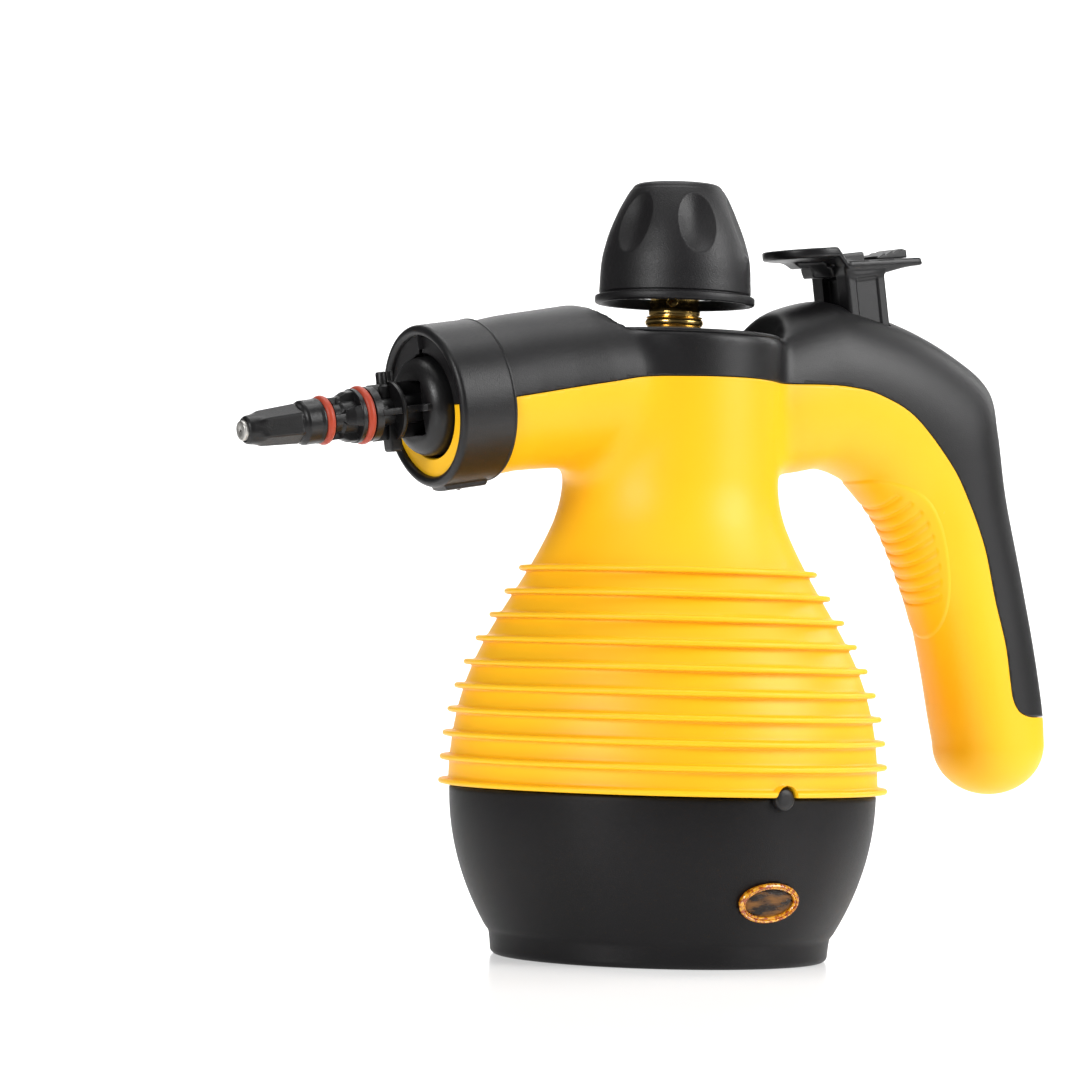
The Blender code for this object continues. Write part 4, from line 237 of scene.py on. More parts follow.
def arc(centre, radius, start, end, count=7):
    """Points of an arc in a profile, angles in degrees from the outward direction."""
    angles = np.radians(np.linspace(start, end, count))
    return [(centre[0] + radius * math.cos(a), centre[1] + radius * math.sin(a)) for a in angles]


def trimmed(mesh, level_of, snap=0.02):
    """The part of a triangle mesh where a level is not negative, cut exactly along the level's zero line.

    Points nearer to the line than snap count as on it, so that no sliver is left.
    """
    points, faces = mesh
    level = level_of(points)
    level = np.where(np.abs(level) < snap, 0.0, level)
    keep = level >= 0.0
    count = keep[faces].sum(axis=1)
    order = np.array(((0, 1, 2), (1, 2, 0), (2, 0, 1)))
    lone_in, lone_out = faces[count == 1], faces[count == 2]
    lone_in = np.take_along_axis(lone_in, order[np.argmax(keep[lone_in], axis=1)], axis=1)
    lone_out = np.take_along_axis(lone_out, order[np.argmin(keep[lone_out], axis=1)], axis=1)
    pairs = np.concatenate((lone_in[:, [0, 1]], lone_in[:, [0, 2]], lone_out[:, [0, 1]], lone_out[:, [0, 2]]))
    ends, back = np.unique(np.sort(pairs, axis=1), axis=0, return_inverse=True)
    a, b = level[ends[:, 0]], level[ends[:, 1]]
    share = (a / (a - b))[:, None]
    new = points[ends[:, 0]] * (1.0 - share) + points[ends[:, 1]] * share
    n, m = len(lone_in), len(lone_out)
    in_b, in_c, out_b, out_c = np.split(back.reshape(-1) + len(points), (n, 2 * n, 2 * n + m))
    faces = np.concatenate((faces[count == 3], np.stack((lone_in[:, 0], in_b, in_c), axis=1),
                            np.stack((out_b, lone_out[:, 1], lone_out[:, 2]), axis=1),
                            np.stack((out_b, lone_out[:, 2], out_c), axis=1)))
    used, back = np.unique(faces, return_inverse=True)
    return welded(np.concatenate((points, new))[used], back.reshape(faces.shape))


def aimed(origin, lean):
    """Puts points from a frame leaning back about Y, by degrees, at its origin, into the object's frame."""
    c, s = math.cos(math.radians(lean)), math.sin(math.radians(lean))
    basis = np.array(((c, 0.0, s), (0.0, 1.0, 0.0), (-s, 0.0, c)))
    return lambda points: points @ basis + np.array(origin)


black_plastic = moulded_plastic("black_grained_plastic", (13, 12, 13), (21, 20, 22), 0.42, 2600.0, 0.00005)
base_plastic = moulded_plastic("base_grained_plastic", (12, 11, 12), (19, 18, 20), 0.46, 2600.0, 0.00006, shine=0.2)

SEAM = 52.3
FOOT = 52.5
FAR = 9.0
LENS_HOLE = (10.0, 6.1)
GLAND_HOLE = 6.4
WELL_RADIUS = 3.6


def base_wall(z):
    """Radius of the bowl's outer wall: a quadratic curve from the seam down to the foot's step."""
    t = np.linspace(0.0, 1.0, 80)
    height = (1 - t) ** 2 * 52.0 + 2 * (1 - t) * t * 29.03 + t ** 2 * 8.0
    radius = (1 - t) ** 2 * 66.5 + 2 * (1 - t) * t * 66.5 + t ** 2 * 53.9
    return np.interp(z, height[::-1], radius[::-1])


heights = np.linspace(51.4, 8.6, 46)
bowl = [(62.2, 55.2), (64.1, 55.2), (64.2, 55.0), (64.2, 52.05), (65.7, 52.05), (66.2, 51.9)]
bowl += list(zip(base_wall(heights), heights))
bowl += [(53.75, 8.0), (53.3, 7.4), (53.05, 6.8), (52.95, 6.0), (52.7, 4.2)]
bowl += arc((FOOT - 2.0, 2.0), 2.0, 0.0, -90.0, 8)
bowl += [(r, 0.0) for r in (49.0, 46.0, 43.0, 40.0, 36.0, 30.0, 20.0, 10.0, 0.0)]
bowl_angles = sector(-math.pi / 2, 0.12, 61, 320)
bowl = turned(bowl, closed=False, angles=bowl_angles)

LENS_SEAT = (0.0, -float(base_wall(21.0)), 21.0)
lens_lean = math.atan2(float(base_wall(22.0) - base_wall(20.0)), 2.0)


def lens_frame(points):
    """Points drawn flat, x across and y up the lens with z outwards, laid on the bowl's wall at the lens."""
    c, s = math.cos(lens_lean), math.sin(lens_lean)
    up = np.array((0.0, -s, c))
    out = np.array((0.0, -c, -s))
    return points @ np.stack((np.array((1.0, 0.0, 0.0)), up, out)) + np.array(LENS_SEAT)


def off_lens(points):
    """Distance outside the oval hole for the lens, on the -Y side."""
    local = points - np.array(LENS_SEAT)
    rise = local[:, 2] * math.cos(lens_lean) - local[:, 1] * math.sin(lens_lean)
    oval = (np.sqrt((local[:, 0] / LENS_HOLE[0]) ** 2 + (rise / LENS_HOLE[1]) ** 2) - 1.0) * 6.0
    return np.where(points[:, 1] < -30.0, oval, FAR)


GLAND_SEAT = (float(base_wall(27.0)), 0.0, 27.0)


def off_gland(points):
    """Outside the round hole for the gland, on the +X side."""
    return np.where(points[:, 0] > 30.0, np.hypot(points[:, 1], points[:, 2] - GLAND_SEAT[2]) - GLAND_HOLE, FAR)


PILLARS = [(44.0 * math.cos(a), 44.0 * math.sin(a)) for a in np.radians((60.0, 180.0, 300.0))]


def off_pillars(points):
    """Outside the pillars' wells, which open in the bowl's floor."""
    nearest = np.min([np.hypot(points[:, 0] - x, points[:, 1] - y) for x, y in PILLARS], axis=0)
    return np.where(points[:, 2] < 1.0, nearest - WELL_RADIUS, FAR)


for clear in (off_lens, off_gland, off_pillars):
    bowl = trimmed(bowl, clear)
lay("base_bowl", "casing", base_plastic, bowl, ["base_cover"], wall=2.4)

well = [(4.8, 58.4), (4.8, 0.3), (3.9, 0.05), (WELL_RADIUS, 0.3), (WELL_RADIUS, 51.5), (1.8, 51.5), (1.8, 58.4)]
pillar = turned(well[::-1], 40)
pillars = joined(*(placed(pillar, (x, y, 0.0)) for x, y in PILLARS))
lay("base_pillars", "casing", black_plastic, pillars)

key = [(0.0, 62.0), (3.4, 62.0), (3.4, 67.9), (3.2, 68.4), (2.7, 68.7), (1.2, 68.8), (0.0, 68.8)]
key = placed(turned(key[::-1], 48, closed=False), (0.0, 0.0, 52.0), "x -z y")
lay("seam_key", "casing", black_plastic, key)


# Indicator lens: an oval of clear amber moulding with a thick polished rim, over a dark faceted cup whose dark
# colour is painted shade.
# It snaps into the base's wall; the small lamp lies behind it on two sleeved leads.
def oval_rings(rings, count=96, power=2.0):
    """Rows of an oval disc from (half-width, half-height, height) rings, on superellipses of one power."""
    c, s = np.cos(circle(count)), np.sin(circle(count))
    c, s = np.sign(c) * np.abs(c) ** (2 / power), np.sign(s) * np.abs(s) ** (2 / power)
    rows = [np.stack((a * c, b * s, np.full(count, h)), axis=1) for a, b, h in rings]
    return welded(np.concatenate(rows), sheet_faces(len(rings), count))


# The rim's faint orange emission is a painted glow: the lens shines by itself, and the lamp behind it gives no
# light.
amber = Finish("amber_lens", IOR=1.49, Transmission_Weight=0.35, Coat_Weight=0.6, Coat_Roughness=0.05,
               Emission_Strength=0.08)
swirl = amber.noise(900.0, 3.0)
amber_lens = amber.done(
    Base_Color=amber.mix(amber.range(swirl, 0.42, 0.58), paint(168, 70, 4), paint(255, 186, 44)),
    Roughness=amber.range(amber.noise(900.0), 0.3, 0.7, 0.06, 0.16),
    Emission_Color=amber.mix(swirl, paint(160, 60, 4), paint(255, 176, 40)),
    Normal=amber.bump(swirl, 0.00012))
rim = [(9.3, 5.4, -3.0), (9.7, 5.8, -3.0), (9.75, 5.85, 0.2), (10.3, 6.4, 0.3), (10.5, 6.55, 0.8), (10.3, 6.4, 1.3),
       (9.9, 6.0, 1.6), (9.5, 5.6, 1.5), (9.35, 5.45, 1.05), (9.25, 5.35, 1.0), (9.1, 5.2, 1.3), (8.85, 4.95, 1.35),
       (8.6, 4.7, 1.0), (8.6, 4.7, -1.0)]
lay("lens_rim", "casing", amber_lens, oval_rings(rim + rim[:1]), ["indicator_lens"], lens_frame)

window = [(0.0, 0.0, -2.4), (8.6, 4.7, -2.4), (8.7, 4.8, 0.4), (8.2, 4.3, 0.75), (6.4, 3.1, 1.0), (3.5, 1.6, 1.15),
          (0.0, 0.0, 1.2)]
smoked = Finish("smoked_amber", IOR=1.3, Transmission_Weight=0.45, Coat_Weight=0.1, Coat_Roughness=0.1)
streak = smoked.noise(1.0, 3.0, place=smoked.stretched((150.0, 300.0, 520.0), (0.0, 0.7, 0.0)))
smoked_amber = smoked.done(
    Base_Color=smoked.mix(smoked.range(streak, 0.4, 0.62), paint(34, 19, 6), paint(156, 104, 44)),
    Roughness=smoked.range(streak, 0.3, 0.7, 0.2, 0.4), Normal=smoked.bump(streak, 0.0002))
lay("lens_window", "casing", smoked_amber, oval_rings(window), place=lens_frame)

FACETS = 14
around = circle(FACETS * 8)
reach = np.linspace(0.05, 1.0, 10)[:, None]
ripple = np.abs(((around * FACETS / (2 * math.pi)) % 1.0) - 0.5) * 1.2
cup = np.stack((9.1 * reach * np.cos(around), 5.2 * reach * np.sin(around),
                -6.0 + 3.0 * reach ** 2 + ripple * reach), axis=-1).reshape(-1, 3)
cup = welded(cup, sheet_faces(len(reach), len(around)))
# Painted shade: this dark dappled cup stands for the dim inside of the base seen through the lens; its facets catch
# real reflections.
dark_cup = Finish("painted_shade_cup", Metallic=0.6)
dapple = dark_cup.noise(320.0, 2.0)
shade_cup_finish = dark_cup.done(Base_Color=dark_cup.mix(dapple, paint(18, 12, 8), paint(120, 78, 34)),
                          Roughness=dark_cup.range(dapple, 0.3, 0.7, 0.15, 0.35))
lay("lens_shade_cup", "casing", shade_cup_finish, cup, place=lens_frame, wall=0.5)


# Body housing, lower part: the ribbed pear of yellow plastic, ten rounded ribs moulded round it.
# The lowest rib stands on the base's rim; its half-round notch at the -Y side takes the base's key.
def yellow_plastic(name, dark, light, gloss, grain, depth):
    """Yellow moulded plastic between two linear colours: soft clouds, a satin spark grain and a little dust."""
    finish = Finish(name, IOR=1.47, Specular_IOR_Level=0.4)
    cloud = finish.noise(16.0, 3.0)
    pits = finish.noise(grain, 2.0, 0.6)
    fine = finish.cells(grain * 1.6)
    dust = finish.streaks((700.0, 90.0, 300.0), (0.4, 0.2, 0.9), 0.68, 0.76)
    colour = finish.mix(finish.range(cloud, 0.32, 0.68), dark, light)
    colour = finish.mix(dust * 0.05, colour, (0.9, 0.86, 0.7))
    rough = finish.range(pits, 0.3, 0.7, gloss - 0.05, gloss + 0.05) + dust * 0.05 + (cloud - 0.5) * 0.05
    return finish.done(Base_Color=colour, Roughness=rough, Normal=finish.bump(pits * 0.6 + fine * 0.4, depth))


yellow = yellow_plastic("yellow_grained_plastic", (0.95, 0.505, 0.006), (0.98, 0.54, 0.01), 0.44, 2400.0, 0.00004)

RIBS = 10
PITCH = 7.41
NOSE = 0.88
NOTCH = 3.7
RIB_ROOT = ((0.0, 0.02, 0.8), (0.12, 0.14, 0.3), (0.4, 0.4, 0.08), (0.9, 0.9, 0.0))


def pear_curve():
    """Radius against height of the pear: a cubic curve from the seam to the waist, eased into the column."""
    t = np.linspace(0.0, 1.0, 200)[:, None]
    a, b, c, d = np.array(((66.9, 52.3), (66.9, 97.8), (45.0, 107.6), (33.7, 141.5)))
    curve = (1 - t) ** 3 * a + 3 * (1 - t) ** 2 * t * b + 3 * (1 - t) * t * t * c + t ** 3 * d
    low = curve[curve[:, 1] < 134.5]
    ease = (1 - t) ** 2 * low[-1] + 2 * (1 - t) * t * np.array((33.7, 141.5)) + t ** 2 * np.array((33.7, 148.5))
    return np.concatenate((low, ease[1:], [(33.7, 260.0)]))


PEAR = pear_curve()


def pear(z):
    """The pear's radius at a height, read between the points of its curve."""
    return np.interp(z, PEAR[:, 1], PEAR[:, 0])


def rib_root(edge, way):
    """Points of a rib's root fillet from its edge to the pear's skin, way being 1 over the rib and -1 under it."""
    return [(pear(edge + way * off) + rise, edge + way * height) for off, height, rise in RIB_ROOT]


ribbed = [(pear(120.9) - 2.2, 120.9)]
for k in reversed(range(RIBS)):
    low = SEAM + 0.15 + k * PITCH
    high = SEAM + 1.95 + k * PITCH
    middle = (low + high) / 2
    ribbed += rib_root(high, 1)[:4 if k < RIBS - 1 else 2][::-1]
    ribbed += arc((pear(middle) + 3.1 - NOSE, middle), NOSE, 90.0, -90.0, 9)
    if k > 0:
        ribbed += rib_root(low, -1)
        ribbed += [(pear(low - step), low - step) for step in (1.6, 2.3, 3.0, 3.7, 4.3)]
ribbed += [(64.6, SEAM + 0.15), (64.6, 57.0)]
ribbed += [(pear(z) - 2.2, z) for z in np.linspace(60.0, 118.0, 14)]
points, faces = turned(ribbed, angles=bowl_angles)
arch = np.sqrt(np.clip(NOTCH ** 2 - points[:, 0] ** 2, 0.0, None))
notched = (np.abs(points[:, 0]) < NOTCH) & (points[:, 1] < -50.0)
points[:, 2] = np.maximum(points[:, 2], np.where(notched, SEAM + 0.15 + arch, 0.0))
lay("ribbed_housing", "casing", yellow, (points, faces), ["body_housing"])


# Upper housing and top cover: one outer form of column, spout and hook handle, parted at the colour seam.
# The yellow half belongs to the housing, the black one is the cover that screws down on it.
COLLAR_SEAT = (-88.5, 0.0, 167.1)
SPOUT_LEAN = math.radians(9.5)
HANDLE_RAILS = np.array((
    (21.6, 149.0, 21.6, 198.0, 20.0), (44.0, 152.6, 46.5, 206.8, 20.0), (56.0, 154.4, 60.0, 207.1, 20.0),
    (67.5, 151.3, 84.0, 201.6, 19.4), (74.5, 145.6, 103.5, 193.8, 18.8), (81.2, 138.0, 117.8, 184.4, 18.2),
    (86.0, 130.5, 121.8, 171.5, 17.8), (91.5, 120.0, 125.6, 150.0, 17.4), (97.0, 107.9, 132.0, 126.0, 17.0),
    (101.9, 90.5, 138.4, 101.0, 17.0), (105.2, 76.0, 142.8, 80.0, 17.0), (107.5, 67.0, 144.0, 68.0, 16.8)))
HANDLE_POWER = 2.2
HANDLE_START = 12.0
HANDLE_END = 16.5
FLOOR = 193.5
RECESS = 34.0
NECK_HOLE = 11.2


def eased(table, steps):
    """A table of rows smoothed by a Catmull-Rom curve through them."""
    rows = np.concatenate((table[:1] * 2 - table[1:2], table, table[-1:] * 2 - table[-2:-1]))
    t = np.linspace(0.0, 1.0, steps, endpoint=False)[None, :, None]
    a, b, c, d = (rows[k:len(rows) - 3 + k][:, None, :] for k in range(4))
    smooth = 0.5 * (2 * b + (c - a) * t + (2 * a - 5 * b + 4 * c - d) * t ** 2 + (3 * b - a - 3 * c + d) * t ** 3)
    return np.concatenate((smooth.reshape(-1, table.shape[1]), table[-1:]))


STATIONS = eased(HANDLE_RAILS, 14)


def handle_map(x, z):
    """For points of the XZ plane: share across the handle, its half-depth, half-width, and share past its ends."""
    best = np.full(x.shape, 1e9)
    found = np.stack([np.full(x.shape, value) for value in (9.0, 18.0, 17.0, 0.0)])

    def measure(row):
        inner, way = row[0:2], row[2:4] - row[0:2]
        length = np.hypot(*way)
        ahead = (way[1] * (x - inner[0]) - way[0] * (z - inner[1])) / length
        share = 2 * ((x - inner[0]) * way[0] + (z - inner[1]) * way[1]) / length ** 2 - 1
        return ahead, share, length / 2, row[4]

    def put(mask, *values):
        for plane, value in zip(found, values):
            plane[mask] = np.broadcast_to(value, x.shape)[mask]

    one = measure(STATIONS[0])
    mask = (one[0] < 0) & (np.abs(one[1]) < 3)
    put(mask, *one[1:], -one[0] / HANDLE_START)
    best[mask] = np.abs(one[1][mask])
    for row in STATIONS[1:]:
        two = measure(row)
        between = (one[0] >= 0) & (two[0] < 0)
        part = one[0] / np.where(between, one[0] - two[0], 1.0)
        share, depth, width = (a + (b - a) * part for a, b in zip(one[1:], two[1:]))
        better = between & (np.abs(share) < best)
        best[better] = np.abs(share[better])
        put(better, share, depth, width, 0.0)
        one = two
    put((one[0] >= 0) & (np.abs(one[1]) < 3) & (z < 80.0), *one[1:], one[0] / HANDLE_END)
    found[0] = np.abs(found[0])
    return found


MAP_STEP = 0.5
map_x = np.arange(-100.0, 152.0, MAP_STEP)
map_z = np.arange(40.0, 216.0, MAP_STEP)
HANDLE_MAP = handle_map(*np.meshgrid(map_x, map_z, indexing="ij"))


def read_map(x, z):
    """The handle's map read between its grid points, in straight lines both ways."""
    u = np.clip((x - map_x[0]) / MAP_STEP, 0, len(map_x) - 1.001)
    v = np.clip((z - map_z[0]) / MAP_STEP, 0, len(map_z) - 1.001)
    i, j = u.astype(int), v.astype(int)
    u, v = u - i, v - j
    return (HANDLE_MAP[:, i, j] * (1 - u) * (1 - v) + HANDLE_MAP[:, i + 1, j] * u * (1 - v)
            + HANDLE_MAP[:, i, j + 1] * (1 - u) * v + HANDLE_MAP[:, i + 1, j + 1] * u * v)


def blended(first, second, reach):
    """The nearer of two distances, eased over a reach where they are alike, which makes a fillet."""
    share = np.clip(reach - np.abs(first - second), 0.0, None) / reach
    return np.minimum(first, second) - share ** 2 * reach * 0.25


def both(first, second, reach):
    """What two forms have in common, the edge between them eased: their blend turned inside out."""
    return -blended(-first, -second, reach)


def hollowed(solid, hollow, reach):
    """A solid less a hollow, the rim between them eased."""
    return both(solid, -hollow, reach)


def spout_place(x, z):
    """How far out along the spout's axis from the collar's front, and how far up across it."""
    dx, dz = x - COLLAR_SEAT[0], z - COLLAR_SEAT[2]
    c, s = math.cos(SPOUT_LEAN), math.sin(SPOUT_LEAN)
    return -dx * c - dz * s, -dx * s + dz * c


SPOUT_OUT = np.array((-80.0, -62.0, -53.0, -41.0, -34.0, -28.0, -18.0, 6.0))
SPOUT_TOP = np.array((23.0, 24.6, 25.2, 24.9, 24.8, 24.6, 23.7, 23.7))
SPOUT_LOW = np.array((27.5, 26.0, 25.0, 23.8, 23.3, 23.0, 23.5, 23.7))
SPOUT_WIDE = np.array((27.0, 26.2, 25.6, 24.6, 24.2, 23.9, 23.7, 23.7))


def outer_form(points):
    """Signed distance to the outer form: a pear and column turned about Z, an oval spout and the hook handle.

    The fillets between them shrink upwards, and the round recess is taken out of their top last.
    """
    x, y, z = points[..., 0], points[..., 1], points[..., 2]
    radius = np.hypot(x, y)
    slope = np.gradient(PEAR[:, 0], PEAR[:, 1])
    lean = 1.0 / np.sqrt(1.0 + np.interp(z, PEAR[:, 1], slope) ** 2)
    column = np.maximum((radius - pear(z)) * lean, z - FLOOR - 3.0)
    column = np.maximum(column, 118.0 - z)
    out, up = spout_place(x, z)
    top, low, wide = (np.interp(out, SPOUT_OUT, values) for values in (SPOUT_TOP, SPOUT_LOW, SPOUT_WIDE))
    middle, tall = (top - low) / 2, (top + low) / 2
    spout = (np.sqrt(((up - middle) / tall) ** 2 + (y / wide) ** 2) - 1.0) * tall
    spout = np.maximum(spout, np.maximum(out - 3.0, -76.0 - out))
    across, depth, width, past = read_map(x, z)
    long_way = across ** HANDLE_POWER
    wide_way = np.abs(y / width) ** HANDLE_POWER
    section = (long_way + wide_way) ** (1 / HANDLE_POWER)
    size = (long_way * depth + wide_way * width + 1e-9) / (long_way + wide_way + 1e-9)
    handle = (np.sqrt(section ** 2 + past ** 2) - 1.0) * size
    recess = both(radius - RECESS, FLOOR - z, 1.5)
    fillet = np.interp(z, (150.0, 174.0), (9.0, 4.0))
    return hollowed(blended(blended(column, spout, fillet), handle, fillet), recess, 3.0)


HEAD, TAIL = slice(None, -1), slice(1, None)


def window(parts):
    """An index of a 3-D array: the given slices along their axes, and all of it along the others."""
    return tuple(parts.get(axis, slice(None)) for axis in range(3))


def skinned(form, low, high, step):
    """Surface nets: a point in each grid cell that the form's zero level crosses, a quad on each crossed edge."""
    grid = np.stack(np.meshgrid(*(np.arange(a, b, step) for a, b in zip(low, high)), indexing="ij"), axis=-1)
    values = np.concatenate([form(part) for part in np.array_split(grid, 12)])
    cells = tuple(n - 1 for n in values.shape)
    total, count = np.zeros(cells + (3,)), np.zeros(cells)
    for axis in range(3):
        one, other = (k for k in range(3) if k != axis)
        a, b = values[window({axis: HEAD})], values[window({axis: TAIL})]
        crossed = (a < 0) != (b < 0)
        spot = grid[window({axis: HEAD})].copy()
        spot[..., axis] += np.where(crossed, a / np.where(crossed, a - b, 1.0), 0.0) * step
        for view in (window({one: i, other: j}) for i in (HEAD, TAIL) for j in (HEAD, TAIL)):
            total += np.where(crossed[view][..., None], spot[view], 0.0)
            count += crossed[view]
    active = count > 0
    number = np.full(cells, -1)
    number[active] = np.arange(active.sum())
    quads = []
    unit = np.eye(3, dtype=int)
    for axis in range(3):
        one, other = (axis + 1) % 3, (axis + 2) % 3
        within = {one: slice(1, -1), other: slice(1, -1)}
        a, b = ((values < 0)[window({axis: side, **within})] for side in (HEAD, TAIL))
        edge = np.argwhere(a != b)
        quad = np.stack([number[tuple((edge + i * unit[one] + j * unit[other]).T)]
                         for i, j in ((0, 0), (1, 0), (1, 1), (0, 1))], axis=1)
        quads.append(np.where(a[tuple(edge.T)][:, None], quad, quad[:, ::-1]))
    quads = np.concatenate(quads)
    return (total[active] / count[active][:, None],
            np.concatenate((quads[:, [0, 1, 2]], quads[:, [0, 2, 3]])))


def settled(points, form, rounds=3, leash=0.9, probe=0.2):
    """Points moved onto the form's zero level along its own slope, none further than a leash's length."""
    start = points
    for _ in range(rounds):
        value = form(points)
        slope = np.stack([form(points + step) - form(points - step) for step in np.eye(3) * probe], axis=-1)
        slope = slope / (2 * probe)
        points = points - slope * (value / np.maximum((slope ** 2).sum(axis=-1), 0.05))[:, None]
        gone = np.linalg.norm(points - start, axis=1)[:, None]
        points = start + (points - start) * np.minimum(1.0, leash / np.maximum(gone, 1e-9))
    return points


def relaxed(points, faces, share, rounds):
    """Points drawn to the mean of their neighbours, by half their share a round."""
    one, other = np.concatenate((faces[:, [0, 1]], faces[:, [1, 2]], faces[:, [2, 0]])).T
    count = np.maximum(np.bincount(one, minlength=len(points)), 1)[:, None]
    for _ in range(rounds):
        total = np.stack([np.bincount(one, points[other, k], len(points)) for k in range(3)], axis=1)
        points = points + (total / count - points) * share[:, None] * 0.5
    return points


STEP = 1.15
skin, skin_faces = skinned(outer_form, (-98.0, -48.6, 46.0), (149.0, 49.2, 214.0), STEP)
skin = settled(skin, outer_form)
rim_distance = np.abs(np.hypot(skin[:, 0], skin[:, 1]) - RECESS - 1.0)
rim_share = np.clip((4.0 - rim_distance) / 1.5, 0.0, 1.0) * np.clip(skin[:, 2] - FLOOR - 1.0, 0.0, 1.0)
skin = relaxed(skin, skin_faces, rim_share, 10), skin_faces

SEAM_LINE = np.array((
    (-110.0, 163.5), (-89.3, 167.1), (-68.7, 170.5), (-47.8, 174.6), (-36.5, 176.7), (-26.0, 178.65),
    (-12.0, 179.35), (8.0, 179.7), (26.9, 179.5), (44.0, 180.1), (53.9, 179.9), (65.6, 178.0), (79.8, 171.8),
    (94.5, 158.1), (102.0, 147.2), (109.8, 131.1), (114.7, 114.4), (119.3, 100.0), (121.6, 88.0), (122.8, 82.5),
    (125.4, 78.6), (129.6, 77.0), (135.0, 76.8), (150.0, 76.8)))
seam_path = eased(SEAM_LINE, 6)


def above_seam(points):
    """Distance above the colour seam in the XZ plane, positive towards the black cover."""
    start, way = seam_path[:-1], np.diff(seam_path, axis=0)
    best = np.full(len(points), 1e9)
    side = np.zeros(len(points))
    for (x, z), (dx, dz) in zip(start, way):
        px, pz = points[:, 0] - x, points[:, 2] - z
        t = np.clip((px * dx + pz * dz) / (dx * dx + dz * dz), 0.0, 1.0)
        away = np.hypot(px - t * dx, pz - t * dz)
        near = away < best
        best[near] = away[near]
        side[near] = (dx * pz - dz * px)[near]
    return np.where(side >= 0, best, -best)


def behind_front(points):
    """Behind the spout's open front."""
    out, _ = spout_place(points[:, 0], points[:, 2])
    return -3.4 - out


def off_neck(points):
    """Outside the hole in the recess's floor that the filler neck comes through."""
    return np.where(points[:, 2] > 189.0, np.hypot(points[:, 0], points[:, 1]) - NECK_HOLE, FAR)


def over_ribs(points):
    """Above the ribbed housing, which is a mesh of its own, or anywhere on the handle."""
    return np.maximum(points[:, 2] - 120.4, points[:, 0] - 72.0)


BUTTON_SEAT = (65.2, 0.0, 218.8)
BUTTON_LEAN = 9.0


def off_stem(points):
    """Outside the rectangular hole that the button's stem passes through."""
    angle = math.radians(BUTTON_LEAN)
    px, pz = points[:, 0] - BUTTON_SEAT[0], points[:, 2] - BUTTON_SEAT[2]
    across = px * math.cos(angle) + pz * math.sin(angle)
    corner = 1.0
    dx, dy = np.abs(across) - 8.0 + corner, np.abs(points[:, 1]) - 10.5 + corner
    outside = np.hypot(np.maximum(dx, 0.0), np.maximum(dy, 0.0)) + np.minimum(np.maximum(dx, dy), 0.0) - corner
    return np.where(points[:, 2] > 185.0, outside, FAR)


WALL = 1.5
SEAM_GAP = 0.15
LIP_REACH = 2.6
for clear in (behind_front, off_neck, over_ribs, off_stem):
    skin = trimmed(skin, clear)
lower = trimmed(skin, lambda p: -above_seam(p) - SEAM_GAP)
upper = trimmed(skin, lambda p: above_seam(p) - SEAM_GAP)
lay("upper_housing", "casing", yellow, lower, wall=WALL)
lay("top_cover_skin", "casing", black_plastic, upper, ["top_cover"], wall=WALL)
lip, lip_faces = trimmed(skin, lambda p: LIP_REACH - np.abs(above_seam(p)))
lip = settled(lip, lambda p: outer_form(p) + WALL + 0.3, 3, 4.0)
lay("seam_lip", "casing", black_plastic, (lip, lip_faces), wall=0.6)


# Front wall of the spout: a ring of each half, black above and yellow below, that holds the hub by its flange.
# The black half has a narrow slot at the top, with a small latch beside it under the collar's rolled edge.
spout_frame = aimed(COLLAR_SEAT, 90.0 + math.degrees(SPOUT_LEAN))
wall_angles = circle(240)


def front_ring(inner):
    """A flat ring across the spout with a rolled outer edge, open at the back."""
    rows = [(inner, -5.6), (inner, -1.4), (inner + 0.3, -1.1), (22.6, -1.1), (22.9, -1.4), (23.2, -5.6)]
    return turned(rows, closed=False, angles=wall_angles)


def off_slot(points):
    """Outside the slot at the top of the ring, in the spout's own frame."""
    slot = np.maximum(np.abs(points[:, 1] - 0.4) - 1.15, points[:, 0] - 21.6)
    return np.where(points[:, 0] > 0.0, slot, FAR)


black_ring = trimmed(trimmed(front_ring(15.9), lambda p: p[:, 0] + 0.2 + 0.02 * p[:, 1]), off_slot)
yellow_ring = trimmed(front_ring(16.1), lambda p: -p[:, 0] - 0.5 - 0.02 * p[:, 1])
lay("spout_front_cover", "casing", black_plastic, black_ring, place=spout_frame, wall=1.6)
lay("spout_front_housing", "casing", yellow, yellow_ring, place=spout_frame, wall=1.6)

latch = [(0.0, 0.0, -3.0), (2.2, 0.5, -3.0), (2.2, 0.5, 0.3), (1.9, 0.3, 0.6), (0.0, 0.0, 0.6)]
latch = placed(oval_rings(latch, 48, 5.0), (19.4, -1.3, 0.0))
lay("collar_latch", "casing", black_plastic, latch, place=spout_frame)


# Thumb grip: a low oval pad moulded on the handle's inner side, with nine soft grooves across it.
# It is one with the housing, so its border sinks into the housing's skin.
GRIP_MIDDLE = np.array((86.8, 128.6))
GRIP_LONG = 30.0
GRIP_ROUND = math.radians(57.0)
GRIP_BORDER = 1.13
GROOVES = 9
GROOVE_PITCH = 4.35


def ramp(value, low, high):
    """Nought below the low end, one above the high end, and an S-curve between."""
    t = np.clip((value - low) / (high - low), 0.0, 1.0)
    return t * t * (3.0 - 2.0 * t)


